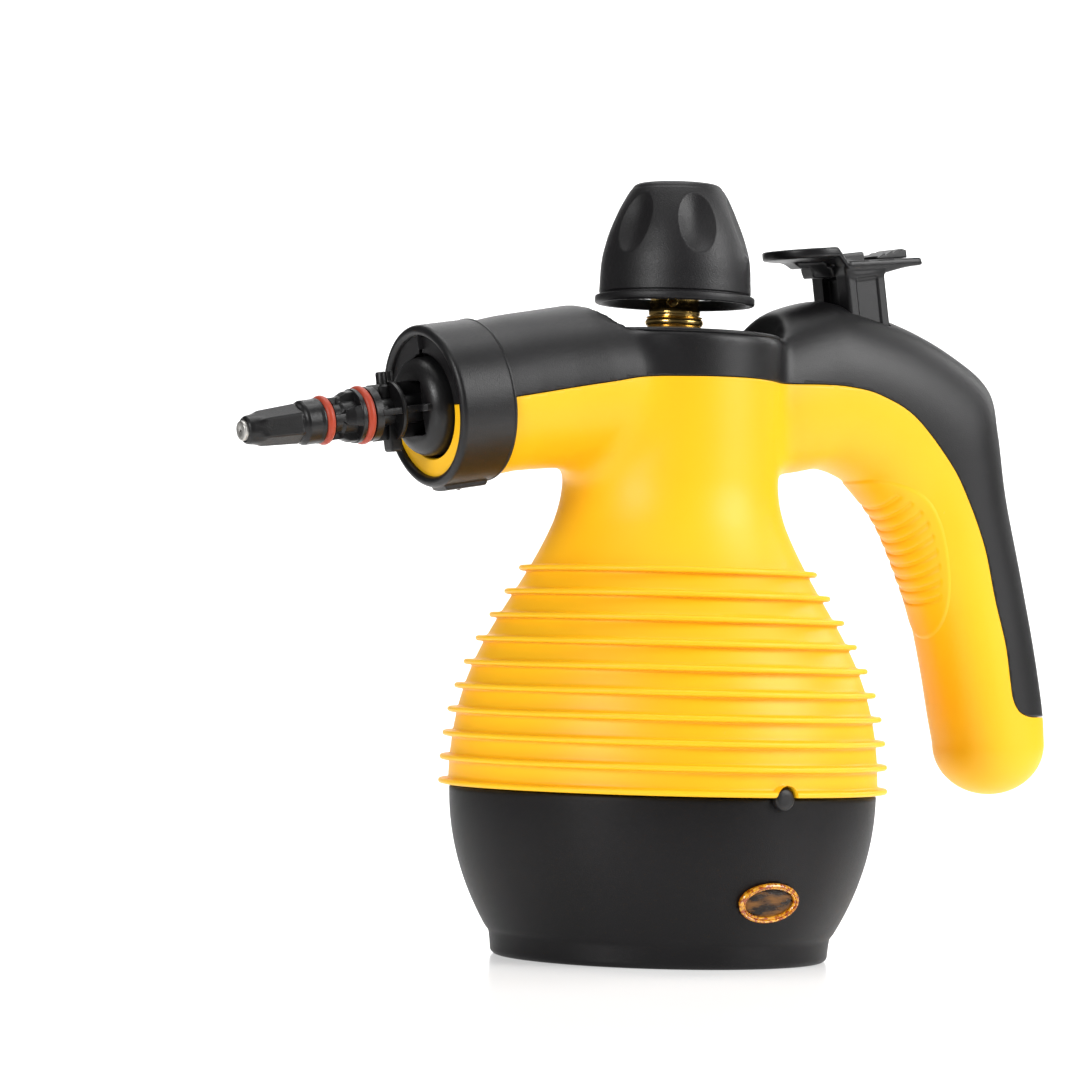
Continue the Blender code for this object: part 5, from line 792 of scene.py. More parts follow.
rail = STATIONS[:, 0:2]
run = np.concatenate(((0.0,), np.cumsum(np.hypot(*np.diff(rail, axis=0).T))))
grip_at = run[np.argmin(np.hypot(*(rail - GRIP_MIDDLE).T))]
along = np.linspace(-GRIP_BORDER * GRIP_LONG, GRIP_BORDER * GRIP_LONG, 231)
around = np.linspace(-GRIP_BORDER * GRIP_ROUND, GRIP_BORDER * GRIP_ROUND, 111)
rows = np.stack([np.interp(grip_at + along, run, STATIONS[:, k]) for k in range(5)], axis=1)
centre, spoke = (rows[:, 0:2] + rows[:, 2:4]) / 2, (rows[:, 0:2] - rows[:, 2:4]) / 2
power = 2 / HANDLE_POWER
inward, aside = np.cos(around) ** power, np.sign(around) * np.abs(np.sin(around)) ** power
grip = np.stack((centre[:, 0, None] + spoke[:, 0, None] * inward, rows[:, 4, None] * aside,
                 centre[:, 1, None] + spoke[:, 1, None] * inward), axis=-1).reshape(-1, 3)
long_way, round_way = (v.reshape(-1) for v in np.meshgrid(along, around, indexing="ij"))
rim_share = np.hypot(long_way / GRIP_LONG, round_way / GRIP_ROUND)
groove_share = np.hypot(long_way / (GRIP_LONG - 3.0), round_way / (GRIP_ROUND * 0.84))
middles = (np.arange(GROOVES) - GROOVES // 2) * GROOVE_PITCH
groove = np.exp(-((long_way[:, None] - middles) / 0.85) ** 2).max(axis=1)
rise = 0.5 * (1.0 - ramp(rim_share, 0.955, 1.0)) - 0.8 * ramp(rim_share, 0.99, 1.08)
rise -= 0.75 * groove * (1.0 - ramp(groove_share, 0.93, 1.0))
grip = settled(grip, lambda p: outer_form(p) - rise, 4, 3.0)
grip = grip, sheet_faces(len(along), len(around), round_columns=False)
lay("thumb_grip", "casing", yellow, grip, wall=0.6)


# Boss in the recess: a turned-up ring of the top cover round the filler neck, which keeps water off the seal.
# The brass neck stands in it, screwed into the boiler.
boss = [(10.75, 195.3), (12.9, 195.3)] + arc((12.9, 194.7), 0.6, 90.0, 0.0, 6)
boss += [(13.5, 193.8), (13.8, 193.4), (13.8, 191.2), (10.55, 191.2), (10.55, 195.1)]
bead = arc((32.6, 193.4), 0.6, 90.0, -255.0, 24)
lay("neck_boss", "casing", black_plastic, joined(turned(boss, 128), turned(bead, 240)))


def metal(name, dark, light, gloss, grain, lathe=0.0, depth=0.00002):
    """Bright or dull metal: mottled tone, dry scratches, and lathe's share of tool lines round the upright axis."""
    finish = Finish(name)
    mottle = finish.noise(180.0, 4.0, 0.6)
    lines = finish.noise(1.0, 2.0, 0.5, finish.stretched((40.0, 40.0, 2600.0)))
    scratch = finish.streaks((1500.0, 90.0, 400.0), (0.5, 0.3, 0.6), 0.62, 0.72)
    tone = mottle * (1.0 - lathe) + lines * lathe
    colour = finish.mix(finish.range(tone, 0.32, 0.68), dark, light)
    colour = finish.mix(scratch * 0.2, colour, light)
    rough = finish.range(tone, 0.3, 0.7, gloss - 0.07, gloss + 0.09) + scratch * 0.06
    height = finish.noise(grain, 2.0) * (1.0 - lathe) + lines * lathe
    return finish.done(Base_Color=colour, Roughness=rough, Metallic=finish.range(mottle, 0.0, 1.0, 0.96, 1.0),
                       Normal=finish.bump(height, depth))


def dressed(material, *names):
    """A finer finish on CAD nodes that keep their own shape."""
    for name in names:
        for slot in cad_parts[name].material_slots:
            slot.material = material


brass = metal("turned_brass", (0.72, 0.46, 0.13), (0.90, 0.64, 0.24), 0.2, 1400.0, 0.2, 0.000006)
dressed(brass, "filler_neck")


# Brass core of the safety cap: a flanged screw plug with a cross vent, driven by the cap once it is pressed down.
# A sprung relief poppet sits in its bore under a slotted screw.
core = [(3.2, 220.1), (4.7, 220.1), (5.0, 219.8), (5.0, 212.1), (8.7, 212.1), (9.0, 211.8), (9.0, 207.4),
        (8.7, 207.1), (7.6, 207.1), (7.6, 202.9), (7.7, 202.6), (8.05, 201.2), (8.1, 200.3), (8.0, 200.0),
        (7.7, 199.9), (7.7, 199.55), (8.6, 199.5), (8.95, 199.3)]
core += arc((7.75, 197.75), 1.35, 60.0, -60.0, 9)
core += [(8.3, 196.4), (8.5, 196.3), (8.8, 196.2), (8.85, 196.0), (8.6, 195.9), (6.9, 195.9)]
for k in range(7):
    low = 195.2 - k * 1.1
    core += [(6.9, low), (6.35, low - 0.35), (6.35, low - 0.6), (6.9, low - 0.95)]
core += [(6.4, 186.9), (1.6, 186.9), (1.6, 190.5), (3.2, 192.1)]
VENT = math.radians(-128.0)
VENT_HEIGHT = 203.9
VENT_RADIUS = 1.75


def off_vent(points):
    """Outside the cross vent drilled into the core's body."""
    side = points[:, 1] * math.cos(VENT) - points[:, 0] * math.sin(VENT)
    facing = points[:, 0] * math.cos(VENT) + points[:, 1] * math.sin(VENT)
    return np.where(facing > 5.0, np.hypot(side, points[:, 2] - VENT_HEIGHT) - VENT_RADIUS, FAR)


def along_vent(points):
    """Upright points laid along the vent, outwards from the core's axis."""
    c, s = math.cos(VENT), math.sin(VENT)
    return points @ np.array(((-s, c, 0.0), (0.0, 0.0, 1.0), (c, s, 0.0))) + np.array((0.0, 0.0, VENT_HEIGHT))


lay("turned_core", "cap_core", brass, trimmed(turned(core, 144), off_vent), ["cap_core"])
vent = turned([(VENT_RADIUS, 7.9), (VENT_RADIUS, 4.2), (0.0, 4.2)], 48, closed=False)
lay("core_vent", "cap_core", brass, vent, place=along_vent, wall=0.4)

bright_steel = metal("bright_steel", (0.42, 0.42, 0.41), (0.68, 0.68, 0.67), 0.28, 900.0, 0.4)
dressed(bright_steel, "relief_poppet", "relief_spring", "cap_spring", "cap_retainer", "button_spring",
        "valve_spring")
dressed(brass, "relief_screw")


def moulded_rubber(name, dark, light, gloss, grain=1500.0):
    """Silicone or rubber between two screen colours: dull and even, with a bloom of fine dust and a soft skin."""
    dark, light = paint(*dark), paint(*light)
    finish = Finish(name, IOR=1.42, Sheen_Weight=0.15)
    bloom = finish.noise(70.0, 4.0, 0.6)
    skin = finish.noise(grain, 2.0)
    return finish.done(Base_Color=finish.mix(finish.range(bloom, 0.3, 0.7), dark, light),
                       Roughness=finish.range(skin, 0.3, 0.7, gloss - 0.06, gloss + 0.06),
                       Normal=finish.bump(skin * 0.7 + bloom * 0.3, 0.00003))


white_silicone = moulded_rubber("white_silicone", (196, 192, 184), (226, 222, 214), 0.5)
dressed(white_silicone, "cap_gasket", "neck_seal", "boiler_gasket")


# Safety cap: a bell of black grained plastic with six finger scoops; its sleeve holds the core by a steel ring.
# Pressed down against its spring it engages the core and unscrews it; otherwise it turns free.
CAP_SIDE = np.array((
    (23.75, 206.9), (23.7, 208.5), (23.6, 210.5), (23.45, 214.2), (23.0, 218.0), (22.15, 221.7), (21.1, 225.5),
    (19.7, 229.2), (18.0, 233.0), (15.9, 236.9), (14.6, 239.0)))
SCOOPS = 6
SCOOP_FIRST = math.radians(-103.5)
SCOOP_HALF_WIDTH = 6.1
SCOOP_MIDDLE = 227.6
SCOOP_HALF_HEIGHT = 9.6
SCOOP_DEPTH = 2.7


def cap_radius(angle, z):
    """Radius of the bell at a height, less the scoop there: a parabola across and along an upright oval."""
    side = eased(CAP_SIDE, 8)
    radius = np.interp(z, side[:, 1], side[:, 0])
    step = 2 * math.pi / SCOOPS
    off = (angle - SCOOP_FIRST + step / 2) % step - step / 2
    cup = 1.0 - (radius * np.sin(off) / SCOOP_HALF_WIDTH) ** 2 - ((z - SCOOP_MIDDLE) / SCOOP_HALF_HEIGHT) ** 2
    return radius - SCOOP_DEPTH * (np.sqrt(cup * cup + 0.0016) + cup) / 2


def ring_rows(profile):
    """A profile's (radius, height) rows, the same all the way round the cap."""
    return np.broadcast_to(np.array(profile)[:, None, :], (len(profile), len(cap_angles), 2))


cap_angles = circle(540)
heights = np.linspace(239.0, 206.9, 130)[:, None]
bell = np.stack(np.broadcast_arrays(cap_radius(cap_angles, heights), heights), axis=-1)
crown = [(0.0, 241.5), (3.0, 241.48), (6.0, 241.4), (9.0, 241.25), (11.0, 241.1)]
crown += arc((11.6, 238.2), 2.85, 84.0, 22.0, 9)
skirt = [(23.5, 206.6), (23.35, 206.45), (23.35, 206.15), (23.6, 206.0), (24.5, 205.95), (24.85, 205.75),
         (25.0, 205.3), (25.0, 203.9), (24.8, 203.5), (24.4, 203.3), (23.4, 203.3), (23.0, 203.5), (22.7, 204.0),
         (21.6, 208.7), (19.0, 219.0), (16.2, 226.2), (13.6, 235.2), (12.6, 237.6), (11.6, 236.4), (11.6, 206.0),
         (11.4, 205.1), (10.9, 205.0), (10.72, 205.2), (10.72, 207.1), (9.5, 207.1), (9.5, 225.6), (0.0, 225.6)]
rows = np.concatenate((ring_rows(crown), bell, ring_rows(skirt)))
bell = spun(rows[..., 0], rows[..., 1], cap_angles).reshape(-1, 3)
bell = welded(bell, sheet_faces(*rows.shape[:2])[:, ::-1])
cap_plastic = moulded_plastic("cap_grained_plastic", (14, 13, 14), (23, 22, 24), 0.44, 2100.0, 0.00009)
lay("cap_bell", "cap_knob", cap_plastic, bell, ["cap_shell"])


# Steam button: a round thumb plate stepped down to a tab, on a hollow stem through the cover to the valve.
# A rounded fairing stiffens the tab, a stepped web the plate, and a wedge on top stops the lock slider.
button_frame = aimed(BUTTON_SEAT, BUTTON_LEAN)


def rounded_box(points, low, high, corner):
    """Signed distance to a box between two corners, its edges rounded."""
    low, high = np.array(low), np.array(high)
    away = np.abs(points - (low + high) / 2) - (high - low) / 2 + corner
    return np.linalg.norm(np.maximum(away, 0.0), axis=-1) + np.minimum(away.max(axis=-1), 0.0) - corner


PLATE_FALL = 0.05


def button_form(points):
    """Signed distance to the button in its own frame: plate, stem, fairing and web, blended, and a wedge on top."""
    x, y, z = points[..., 0], points[..., 1], points[..., 2]
    level = 4.0 * np.clip((-7.4 - x) / 4.2, 0.0, 1.0)
    deep, z = z, z + PLATE_FALL * x
    out = np.hypot(x + 15.2, y)
    flat = points * np.array((1.0, 1.0, 0.0))
    plan = blended(out - 14.0, rounded_box(flat, (-14.0, -11.0, -9.0), (22.5, 11.0, 9.0), 2.0), 1.0)
    dish = 1.3 * np.clip(1.0 - (out / 13.6) ** 2, 0.0, 1.0) * ramp(-x, 8.0, 13.0)
    thick = 2.5 + 0.5 * ramp(-x, 9.0, 13.0)
    side = np.maximum(z - level - thick, level - dish - z) * np.where((x > -11.8) & (x < -7.2), 0.74, 1.0)
    plate = both(plan, side, 0.9)
    points = np.stack((x, y, deep), axis=-1)
    stem = rounded_box(points, (-7.5, -10.0, -27.6), (7.5, 10.0, 1.2), 0.8)
    for low, high in ((-12.0, -9.45), (9.45, 12.0)):
        stem = hollowed(stem, rounded_box(points, (-3.9, low, -40.0), (4.4, high, -2.4), 0.2), 0.35)
    stem = hollowed(stem, rounded_box(points, (-9.0, -4.0, -40.0), (-4.8, 4.0, -1.6), 0.3), 0.4)
    drop = np.interp(x, (-8.0, -6.5, -3.0, 2.0, 18.5, 30.0), (0.6, 2.2, 3.3, 3.0, 0.0, -2.0))
    fairing = both(np.maximum(np.abs(y) - 10.3, -8.2 - x), np.maximum(-drop - z, z - 1.0) * 0.96, 1.5)
    under = np.interp(x, (-26.0, -24.2, -19.6, -15.9, -15.3, -5.0), (6.0, 4.2, 1.0, 1.0, -2.2, -2.4))
    web = both(np.maximum(np.abs(y) - 3.2, x + 4.0), np.maximum((under - z) * 0.82, z - 5.0), 0.5)
    wedge = both(np.maximum(np.abs(y) - 6.2, np.maximum(x - 2.7, -10.2 - x)),
                 np.maximum(z - 4.9 - 0.05 * (x + 8.0), 1.0 - z), 0.7)
    form = blended(blended(plate, fairing, 0.8), stem, 1.0)
    return np.minimum(blended(form, web, 0.8), wedge)


button_step = 0.5
points, faces = skinned(button_form, (-31.0, -15.5, -28.6), (24.5, 15.6, 9.8), button_step)
button = settled(points, button_form), faces
button_plastic = moulded_plastic("button_satin_plastic", (13, 13, 14), (21, 20, 22), 0.38, 1900.0, 0.00004, 0.08)
lay("thumb_button", "button", button_plastic, button, ["steam_button"], button_frame)


# Lock slider: a small ridged catch on the button's tab, clipped through it by a foot.
# Pushed towards the wedge it keeps the button from being pressed.
def slider_form(points):
    """Signed distance to the slider: a low block whose top rises backwards in three saw teeth."""
    x, y, z = points[..., 0], points[..., 1], points[..., 2] + PLATE_FALL * points[..., 0]
    tooth = ((x - 8.4) / 3.0) % 1.0
    top = 2.85 + np.interp(x, (8.0, 10.0, 16.6, 18.0, 20.0), (1.0, 1.5, 3.0, 2.9, 2.4))
    top = top - 0.75 * (1.0 - tooth) * (x < 17.6)
    block = rounded_box(points * np.array((1.0, 1.0, 0.0)), (8.0, -6.0, -9.0), (20.0, 6.0, 9.0), 0.9)
    return both(block, np.maximum((z - top) * 0.9, 2.76 - z), 0.3)


points, faces = skinned(slider_form, (7.4, -6.6, 1.0), (20.6, 6.7, 7.0), 0.28)
slider = settled(points, slider_form), faces
lay("ridged_slider", "lock", button_plastic, slider, ["lock_slider"], button_frame)


# Collar: a black ring pushed over both halves of the spout, which it holds together, rolled at its front edge.
# A long flat pad with a small pip lies along its underside.
COLLAR_PAD = 1.4
COLLAR_SIDE = 24.7


def collar_rows():
    """The collar's section as a closed ring: rolled front, plain side, beaded back edge, then the bore."""
    rows = arc((22.9, -0.7), 1.5, 180.0, 90.0, 9) + arc((23.0, -0.9), 1.7, 88.0, 0.0, 12)
    rows += [(COLLAR_SIDE, -z) for z in np.linspace(1.5, 16.9, 36)]
    rows += [(24.72, -17.1), (24.9, -17.3), (24.92, -17.6), (24.75, -17.9), (24.5, -18.0), (24.1, -18.0),
             (24.0, -17.8), (24.0, -10.0), (24.0, -6.2), (23.5, -1.5), (23.2, -1.0), (21.6, -1.0), (21.4, -1.2)]
    return np.array(rows)


collar_angles = sector(math.pi, 0.26, 105, 300)
rows = collar_rows()
out = rows[:, 1:]
radius = rows[:, :1] + 0.0 * collar_angles
across = np.abs(COLLAR_SIDE * np.sin(collar_angles))
under = np.cos(collar_angles) < -0.9
pad = COLLAR_PAD * (1.0 - ramp(across, 3.9, 4.7)) * ramp(-out, 1.2, 2.2) * (1.0 - ramp(-out, 15.6, 16.8)) * under
pip = 0.5 * np.exp(-(((out + 8.4) / 0.5) ** 2 + (across / 0.6) ** 2)) * under
points = spun(radius + (pad + pip) * (radius > 24.3), out, collar_angles).reshape(-1, 3)
collar = welded(points, sheet_faces(len(rows), len(collar_angles), round_rows=True)[:, ::-1])
collar_plastic = moulded_plastic("collar_satin_plastic", (13, 13, 14), (21, 20, 22), 0.4, 2200.0, 0.00006)
lay("turned_collar", "casing", collar_plastic, collar, ["nozzle_collar"], spout_frame)


# Nozzle hub: a black dome in the spout's mouth with a square well, in which the nozzle's root stands.
# Its flange is trapped behind the front wall; a rib each side carries the nozzle's flat fin out to the dome.
HUB_FACE = 10.2
HUB_SHOULDER = 4.8


def dome(r):
    """How far out the dome's skin lies at a radius: a flat face, a rounded shoulder, then a straight side."""
    over = np.clip((r - HUB_FACE) / HUB_SHOULDER, 0.0, 1.0)
    return 0.6 + 4.7 * np.sqrt(np.clip(1.0 - over ** 2, 0.0, None)) - 0.004 * r ** 2


def off_well(points):
    """Outside the dome's square well, its corners rounded."""
    flat = points * np.array((1.0, 1.0, 0.0))
    return rounded_box(flat, (-8.2, -7.6, -1.0), (8.2, 7.6, 1.0), 0.7)


shoulder = HUB_FACE + HUB_SHOULDER * np.sin(np.radians(np.linspace(2.0, 90.0, 34)))
shell = [(r, dome(r)) for r in (*np.linspace(0.5, HUB_FACE, 24), *shoulder)]
shell = turned(shell + [(15.05, -1.0), (15.1, -5.8), (18.0, -5.8), (18.0, -8.2)], closed=False, angles=wall_angles)
nozzle_plastic = moulded_plastic("nozzle_heat_plastic", (12, 12, 13), (20, 19, 20), 0.36, 1700.0, 0.00005, 0.1)
shell = trimmed(shell, off_well)
lay("hub_dome", "casing", nozzle_plastic, shell, ["nozzle_hub"], spout_frame, 1.5)

c, s = np.cos(circle(160)), np.sin(circle(160))
well_up, well_side = 8.15 * np.sign(c) * np.abs(c) ** 0.16, 7.55 * np.sign(s) * np.abs(s) ** 0.16
well_top = dome(np.hypot(well_up, well_side)) - 0.25
depth = np.linspace(0.0, 1.0, 8)[:, None]
well = np.stack(np.broadcast_arrays(well_up, well_side, well_top * (1 - depth) - 9.0 * depth), axis=-1)
well = np.concatenate((well, well[-1:] * np.array((0.0, 0.0, 1.0))))
well = welded(well.reshape(-1, 3), sheet_faces(*well.shape[:2]))
lay("hub_well", "casing", nozzle_plastic, well, place=spout_frame, wall=0.8)

rib = [(0.0, 0.0, 3.0), (1.1, 3.0, 3.0), (1.1, 2.6, 5.6), (1.0, 1.4, 6.4), (0.9, 1.1, 6.6), (0.0, 0.0, 6.65)]
rib = oval_rings(rib, 48, 6.0)
ribs = joined(*(placed(rib, (0.0, side * 9.6, 0.0)) for side in (-1.0, 1.0)))
lay("hub_ribs", "casing", nozzle_plastic, ribs, place=spout_frame)


# Steam nozzle: a fluted stem, two ringed lands, a ribbed waist and a hexagonal barrel, in heat-proof plastic.
# A round post above and a block below lock the brushes and jets that push over it.
nozzle_frame = aimed(spout_frame(np.array((0.0, 0.0, 1.2))), 90.0 + math.degrees(SPOUT_LEAN))
NOZZLE_ROOT = -8.5
NOZZLE_END = 60.2
SPANS = ((NOZZLE_ROOT, NOZZLE_END, 150), (9.2, 11.2, 24), (16.2, 20.4, 34), (21.8, 29.5, 60), (31.2, 33.6, 26),
         (34.9, 43.4, 60), (57.0, NOZZLE_END, 40))
nozzle_rows = np.unique(np.round(np.concatenate([np.linspace(*span) for span in SPANS]), 3))
nozzle_angles = circle(240)


def star(angle, fin_radius, fin_thickness, core_radius):
    """Radius of a round core with four flat fins: each fin's side is a straight line off the axis."""
    off = np.abs((angle + math.pi / 4) % (math.pi / 2) - math.pi / 4)
    fin = np.minimum(fin_radius, fin_thickness / 2 / np.maximum(np.sin(off), 1e-3))
    return np.maximum(core_radius, fin)


LANDS = np.array((
    (16.3, 0.0), (17.0, 8.25), (19.62, 8.3), (19.66, 5.9), (22.74, 5.9), (22.78, 8.2), (24.0, 8.2), (24.2, 8.0),
    (24.25, 4.6), (31.7, 4.6), (32.6, 6.75), (32.66, 6.8), (32.7, 4.7), (35.7, 4.7), (35.75, 6.75), (36.2, 6.85),
    (37.2, 6.7), (41.1, 6.7), (41.7, 6.4), (42.2, 6.0), (42.9, 5.6))).T


def nozzle_radius(s, angle):
    """Radius of the nozzle at s millimetres out from the collar, section by section along it."""
    lands = np.interp(s, *LANDS, left=0.0, right=0.0)
    stem = star(angle, 8.5, 2.1, 4.5)
    cone = np.interp(s, (24.0, 26.4, 28.4, 29.2), (7.9, 7.6, 6.6, 6.35))
    thickness, hub = (np.interp(s, (24.0, 28.4, 29.4), values) for values in ((6.4, 4.6, 2.4), (5.6, 5.2, 4.5)))
    waist = star(angle, cone, thickness, hub)
    flange = np.where(np.abs(s - 10.3) < 0.75, 9.2 - 0.25 * np.abs(s - 10.3), 0.0)
    side = (angle + math.pi / 3) % (math.pi / 3) - math.pi / 6
    across = np.interp(s, (42.6, 43.2, 55.0, 58.6, 59.4, 59.9, 60.2), (5.2, 5.35, 4.75, 4.25, 4.1, 3.8, 3.4))
    hexagon = across / np.cos(side)
    hexagon = np.where(s > 54.0, hexagon + (across * 1.03 - hexagon) * ramp(s, 54.0, 58.0), hexagon)
    hexagon = np.minimum(hexagon, across * 1.12)
    radius = np.where(s < 17.4, np.maximum(stem, flange), 0.0)
    radius = np.maximum(radius, np.where((s > 23.0) & (s < 33.0) & (lands < 6.3), waist, 0.0))
    radius = np.maximum(radius, lands)
    return np.where(s > 42.55, np.maximum(hexagon, np.where(s < 42.9, lands, 0.0)), radius)


out = nozzle_rows[::-1, None]
body = spun(nozzle_radius(out, nozzle_angles), out, nozzle_angles)
mouth = np.array([(0.0, 54.0), (3.1, 54.0), (3.15, 59.8), (3.2, 60.15)])
mouth = spun(mouth[:, :1], mouth[:, 1:], nozzle_angles)
tail = np.full((1, len(nozzle_angles), 3), (0.0, 0.0, NOZZLE_ROOT))
body = np.concatenate((mouth, body, tail))
body = welded(body.reshape(-1, 3), sheet_faces(*body.shape[:2])[:, ::-1])
lay("fluted_nozzle", "casing", nozzle_plastic, body, ["steam_nozzle"], nozzle_frame)

post = [(0.0, 12.1), (1.1, 12.1), (1.5, 11.9), (1.65, 11.5), (1.75, 8.2), (2.3, 7.6), (2.3, 4.0), (0.0, 4.0)]
key = [(0.0, 0.0, 4.0), (1.6, 0.6, 4.0), (1.4, 0.55, 8.0), (1.3, 0.55, 11.6), (1.1, 0.4, 12.0), (0.0, 0.0, 12.0)]
lug = [(0.0, 0.0, 3.0), (2.5, 2.1, 3.0), (2.5, 2.1, 11.2), (2.35, 1.95, 11.9), (2.0, 1.6, 12.2), (0.0, 0.0, 12.2)]
lugs = joined(placed(turned(post, 48, closed=False), (0.0, 0.0, 12.4), "z y -x"),
              placed(oval_rings(key, 48, 5.0), (0.0, 0.0, 9.3), "z x -y"),
              placed(oval_rings(lug, 64, 7.0), (0.0, 0.0, 11.0), "-z x y"))
lay("nozzle_lugs", "casing", nozzle_plastic, lugs, place=nozzle_frame)


# O-rings: two orange silicone rings stretched into the nozzle's grooves, which seal whatever is pushed over it.
# The rear one is the larger.
orange_silicone = moulded_rubber("orange_silicone", (158, 50, 24), (182, 66, 36), 0.46)
RING_THICK = 2.8
for name, place, outer in (("rear_o_ring", 21.2, 8.85), ("front_o_ring", 34.2, 7.45)):
    ring = turned(arc((outer - RING_THICK / 2, place), RING_THICK / 2, 90.0, -255.0, 24), 160)
    lay("soft_" + name, "casing", orange_silicone, ring, [name], nozzle_frame)


# Tip insert: a small turned steel jet pressed into the end of the barrel.
# Steam leaves through its fine central hole.
tip = [(0.45, 61.35), (0.55, 61.4), (2.5, 61.4)] + arc((2.5, 60.9), 0.5, 90.0, 0.0, 6) + [(3.0, 56.0), (0.45, 56.0)]
tip_steel = metal("sandblasted_steel", (0.34, 0.33, 0.31), (0.62, 0.61, 0.58), 0.42, 2600.0, 0.0, 0.00006)
lay("jet_insert", "casing", tip_steel, turned(tip), ["nozzle_tip"], nozzle_frame)


# Boiler: two cast aluminium cups bolted together on a flange with a silicone gasket.
# It stands on the base's three pillars, held there by the base screws; four steel screws hold the flange together.
# The thermostat, fuse and heater are on its underside.
cast = metal("cast_aluminium", (0.30, 0.30, 0.31), (0.56, 0.56, 0.57), 0.42, 600.0, 0.0, 0.00008)
dressed(cast, "boiler_lower", "boiler_upper")
dressed(bright_steel, "boiler_screw_1", "boiler_screw_2", "boiler_screw_3", "boiler_screw_4")
heater_steel = metal("oxidised_steel", (0.16, 0.15, 0.14), (0.40, 0.38, 0.36), 0.4, 800.0)
dressed(heater_steel, "heating_element", "thermal_fuse")


# Wiring: an off-white terminal block on the base, red silicone sleeves to the heater and the indicator lamp.
# The thermostat has a ceramic body, and the lamp a clear glass bulb.
ceramic = moulded_plastic("ceramic_white", (196, 192, 182), (224, 220, 210), 0.35, 900.0, 0.00003)
dressed(ceramic, "thermostat", "terminal_block")
red_sleeve = moulded_rubber("red_sleeve", (120, 22, 18), (156, 34, 26), 0.52, 2200.0)
dressed(red_sleeve, "element_wire_a", "element_wire_b", "lamp_wire_a", "lamp_wire_b")
glass = Finish("lamp_glass", IOR=1.5, Transmission_Weight=0.8)
haze = glass.noise(300.0, 3.0)
lamp_glass = glass.done(Base_Color=glass.mix(haze, paint(236, 190, 150), paint(252, 226, 196)),
                        Roughness=glass.range(haze, 0.3, 0.7, 0.05, 0.14), Normal=glass.bump(haze, 0.00005))
dressed(lamp_glass, "indicator_lamp")


# Steam valve: a brass body, its plunger under the button's stem, a plug below, copper pipes to boiler and nozzle.
# Its spring lifts the plunger, and the button with it.
dressed(brass, "valve_body", "valve_plug", "valve_plunger")
copper = metal("drawn_copper", (0.38, 0.13, 0.06), (0.70, 0.32, 0.18), 0.3, 1000.0, 0.2)
dressed(copper, "valve_inlet_tube", "steam_tube")


# Screws and gland: zinc-plated screws in the base's wells and in the cover, a black rubber gland for the lead.
# The lead itself is left out, so the gland's bore is open.
dressed(bright_steel, "base_screw_1", "base_screw_2", "base_screw_3", "cover_screw")
black_rubber = moulded_rubber("black_rubber", (20, 20, 21), (38, 37, 38), 0.6)
bush = [(3.6, 2.6), (4.4, 2.6)] + arc((4.6, 1.8), 0.8, 80.0, 20.0, 5)
bush += [(6.3, 1.6), (7.6, 1.5), (7.95, 1.2), (8.0, 0.7), (7.9, 0.35), (7.6, 0.25), (6.1, 0.25), (6.1, -9.6),
         (5.8, -10.0), (3.6, -10.0)]
lay("cord_bush", "casing", black_rubber, placed(turned(bush), GLAND_SEAT, "z y -x"), ["cord_gland"])


# Studio: a pale seamless sweep that curves up behind the object, broad soft lamps, and the camera.
# The camera stands low on the -Y side in front of the nozzle, turned a little about its line of sight.
yaw = math.radians(32.5)
FLAT_END = 1300.0
BEND = 900.0
LEVEL = -0.05
sweep = [(-430.0, LEVEL), (FLAT_END, LEVEL)]
bend = np.radians(np.arange(6, 91, 6))
sweep += [(FLAT_END + BEND * math.sin(a), BEND * (1 - math.cos(a)) + LEVEL) for a in bend]
sweep = np.array(sweep + [(FLAT_END + BEND, 3400.0)])
sideways = np.linspace(-900.0, 900.0, 9)
ahead, beside = np.array((math.sin(yaw), math.cos(yaw), 0.0)), np.array((math.cos(yaw), -math.sin(yaw), 0.0))
upright = np.array((0.0, 0.0, 1.0))
sheet = sweep[:, None, :1] * ahead + sideways[None, :, None] * beside + sweep[:, None, 1:] * upright
floor_faces = sheet_faces(len(sweep), len(sideways), round_columns=False)[:, ::-1]
floor_mesh = bpy.data.meshes.new("studio_sweep")
floor_mesh.from_pydata((sheet.reshape(-1, 3) * MM).tolist(), [], floor_faces.tolist())
floor_mesh.shade_smooth()
floor_finish = Finish("studio_paper", Emission_Strength=0.4)
paper = floor_finish.noise(3.0, 4.0)
floor_mesh.materials.append(floor_finish.done(
    Base_Color=floor_finish.mix(paper, (0.90, 0.90, 0.90), (0.93, 0.93, 0.93)),
    Roughness=floor_finish.range(paper, 0.3, 0.7, 0.16, 0.2),
    Emission_Color=floor_finish.mix(paper, (0.97, 0.97, 0.97), (1.0, 1.0, 1.0))))
floor = bpy.data.objects.new("studio_sweep", floor_mesh)
bpy.context.scene.collection.objects.link(floor)


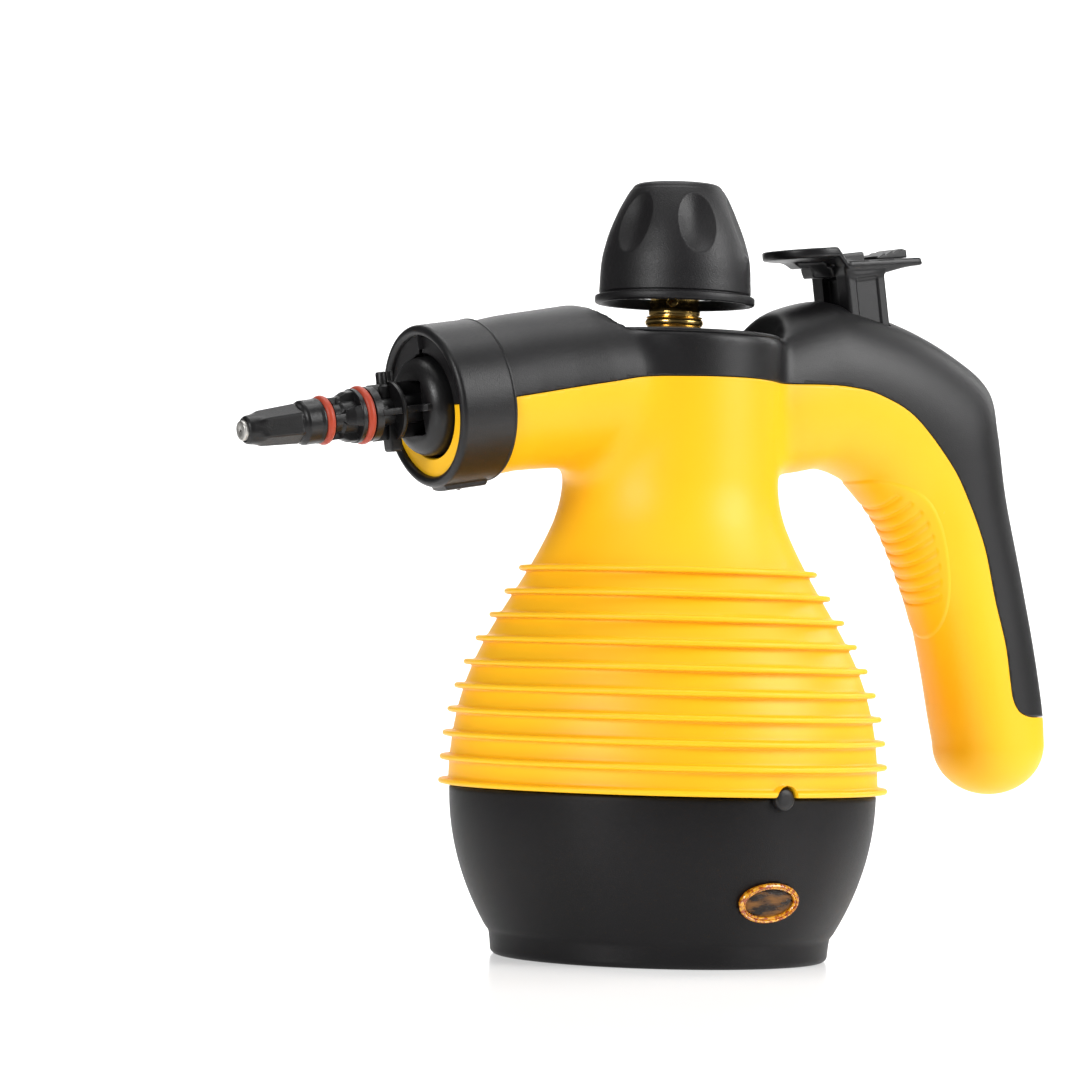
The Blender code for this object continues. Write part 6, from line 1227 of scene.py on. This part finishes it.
def lamp(name, place, towards, width, height, power):
    """A soft rectangular lamp, sizes in metres, aimed at a point."""
    data = bpy.data.lights.new(name, "AREA")
    data.shape = "RECTANGLE"
    data.size, data.size_y, data.energy = width, height, power
    light = bpy.data.objects.new(name, data)
    light.location = place
    light.rotation_euler = (Vector(towards) - Vector(place)).to_track_quat("-Z", "Y").to_euler()
    bpy.context.scene.collection.objects.link(light)


lamp("key_softbox", (-2.0, -0.8, 0.8), (0.0, 0.0, 0.12), 0.7, 0.9, 30.0)
lamp("side_softbox", (1.25, -1.5, 1.05), (0.05, 0.0, 0.18), 1.1, 1.2, 42.0)
lamp("top_softbox", (-0.2, -0.5, 1.9), (0.0, 0.0, 0.1), 1.0, 0.8, 4.0)
lamp("rim_softbox", (1.9, 0.4, 1.0), (0.05, 0.0, 0.15), 0.5, 1.1, 8.0)
lamp("backdrop_lamp", (0.2, 0.6, 2.6), (1.4, 2.2, 0.6), 2.0, 2.0, 50.0)

world = bpy.context.scene.world or bpy.data.worlds.new("studio")
bpy.context.scene.world = world
world.use_nodes = True
world.node_tree.nodes["Background"].inputs["Color"].default_value = (1.0, 1.0, 1.0, 1.0)
world.node_tree.nodes["Background"].inputs["Strength"].default_value = 0.1
bpy.context.scene.view_settings.view_transform = "Standard"

FOCAL_PIXELS = 4224.0
OFF_RIGHT = 128.65
OFF_TOP = 99.67
roll = math.radians(1.5)
level_right = Vector(beside)
sight = Vector(ahead) * FOCAL_PIXELS - level_right * OFF_RIGHT + Vector((0.0, 0.0, OFF_TOP))
sight.normalize()
upward = Vector((0.0, 0.0, math.cos(roll))) - level_right * math.sin(roll)
upward = (upward - sight * upward.dot(sight)).normalized()
lens = bpy.data.cameras.new("camera")
lens.sensor_width, lens.lens, lens.clip_start, lens.clip_end = 36.0, 140.9, 0.05, 50.0
camera = bpy.data.objects.new("camera", lens)
turned_to = Matrix((sight.cross(upward), upward, -sight)).transposed().to_4x4()
camera.matrix_world = Matrix.Translation((-0.7092, -1.1133, 0.0977)) @ turned_to
bpy.context.scene.collection.objects.link(camera)
bpy.context.scene.camera = camera
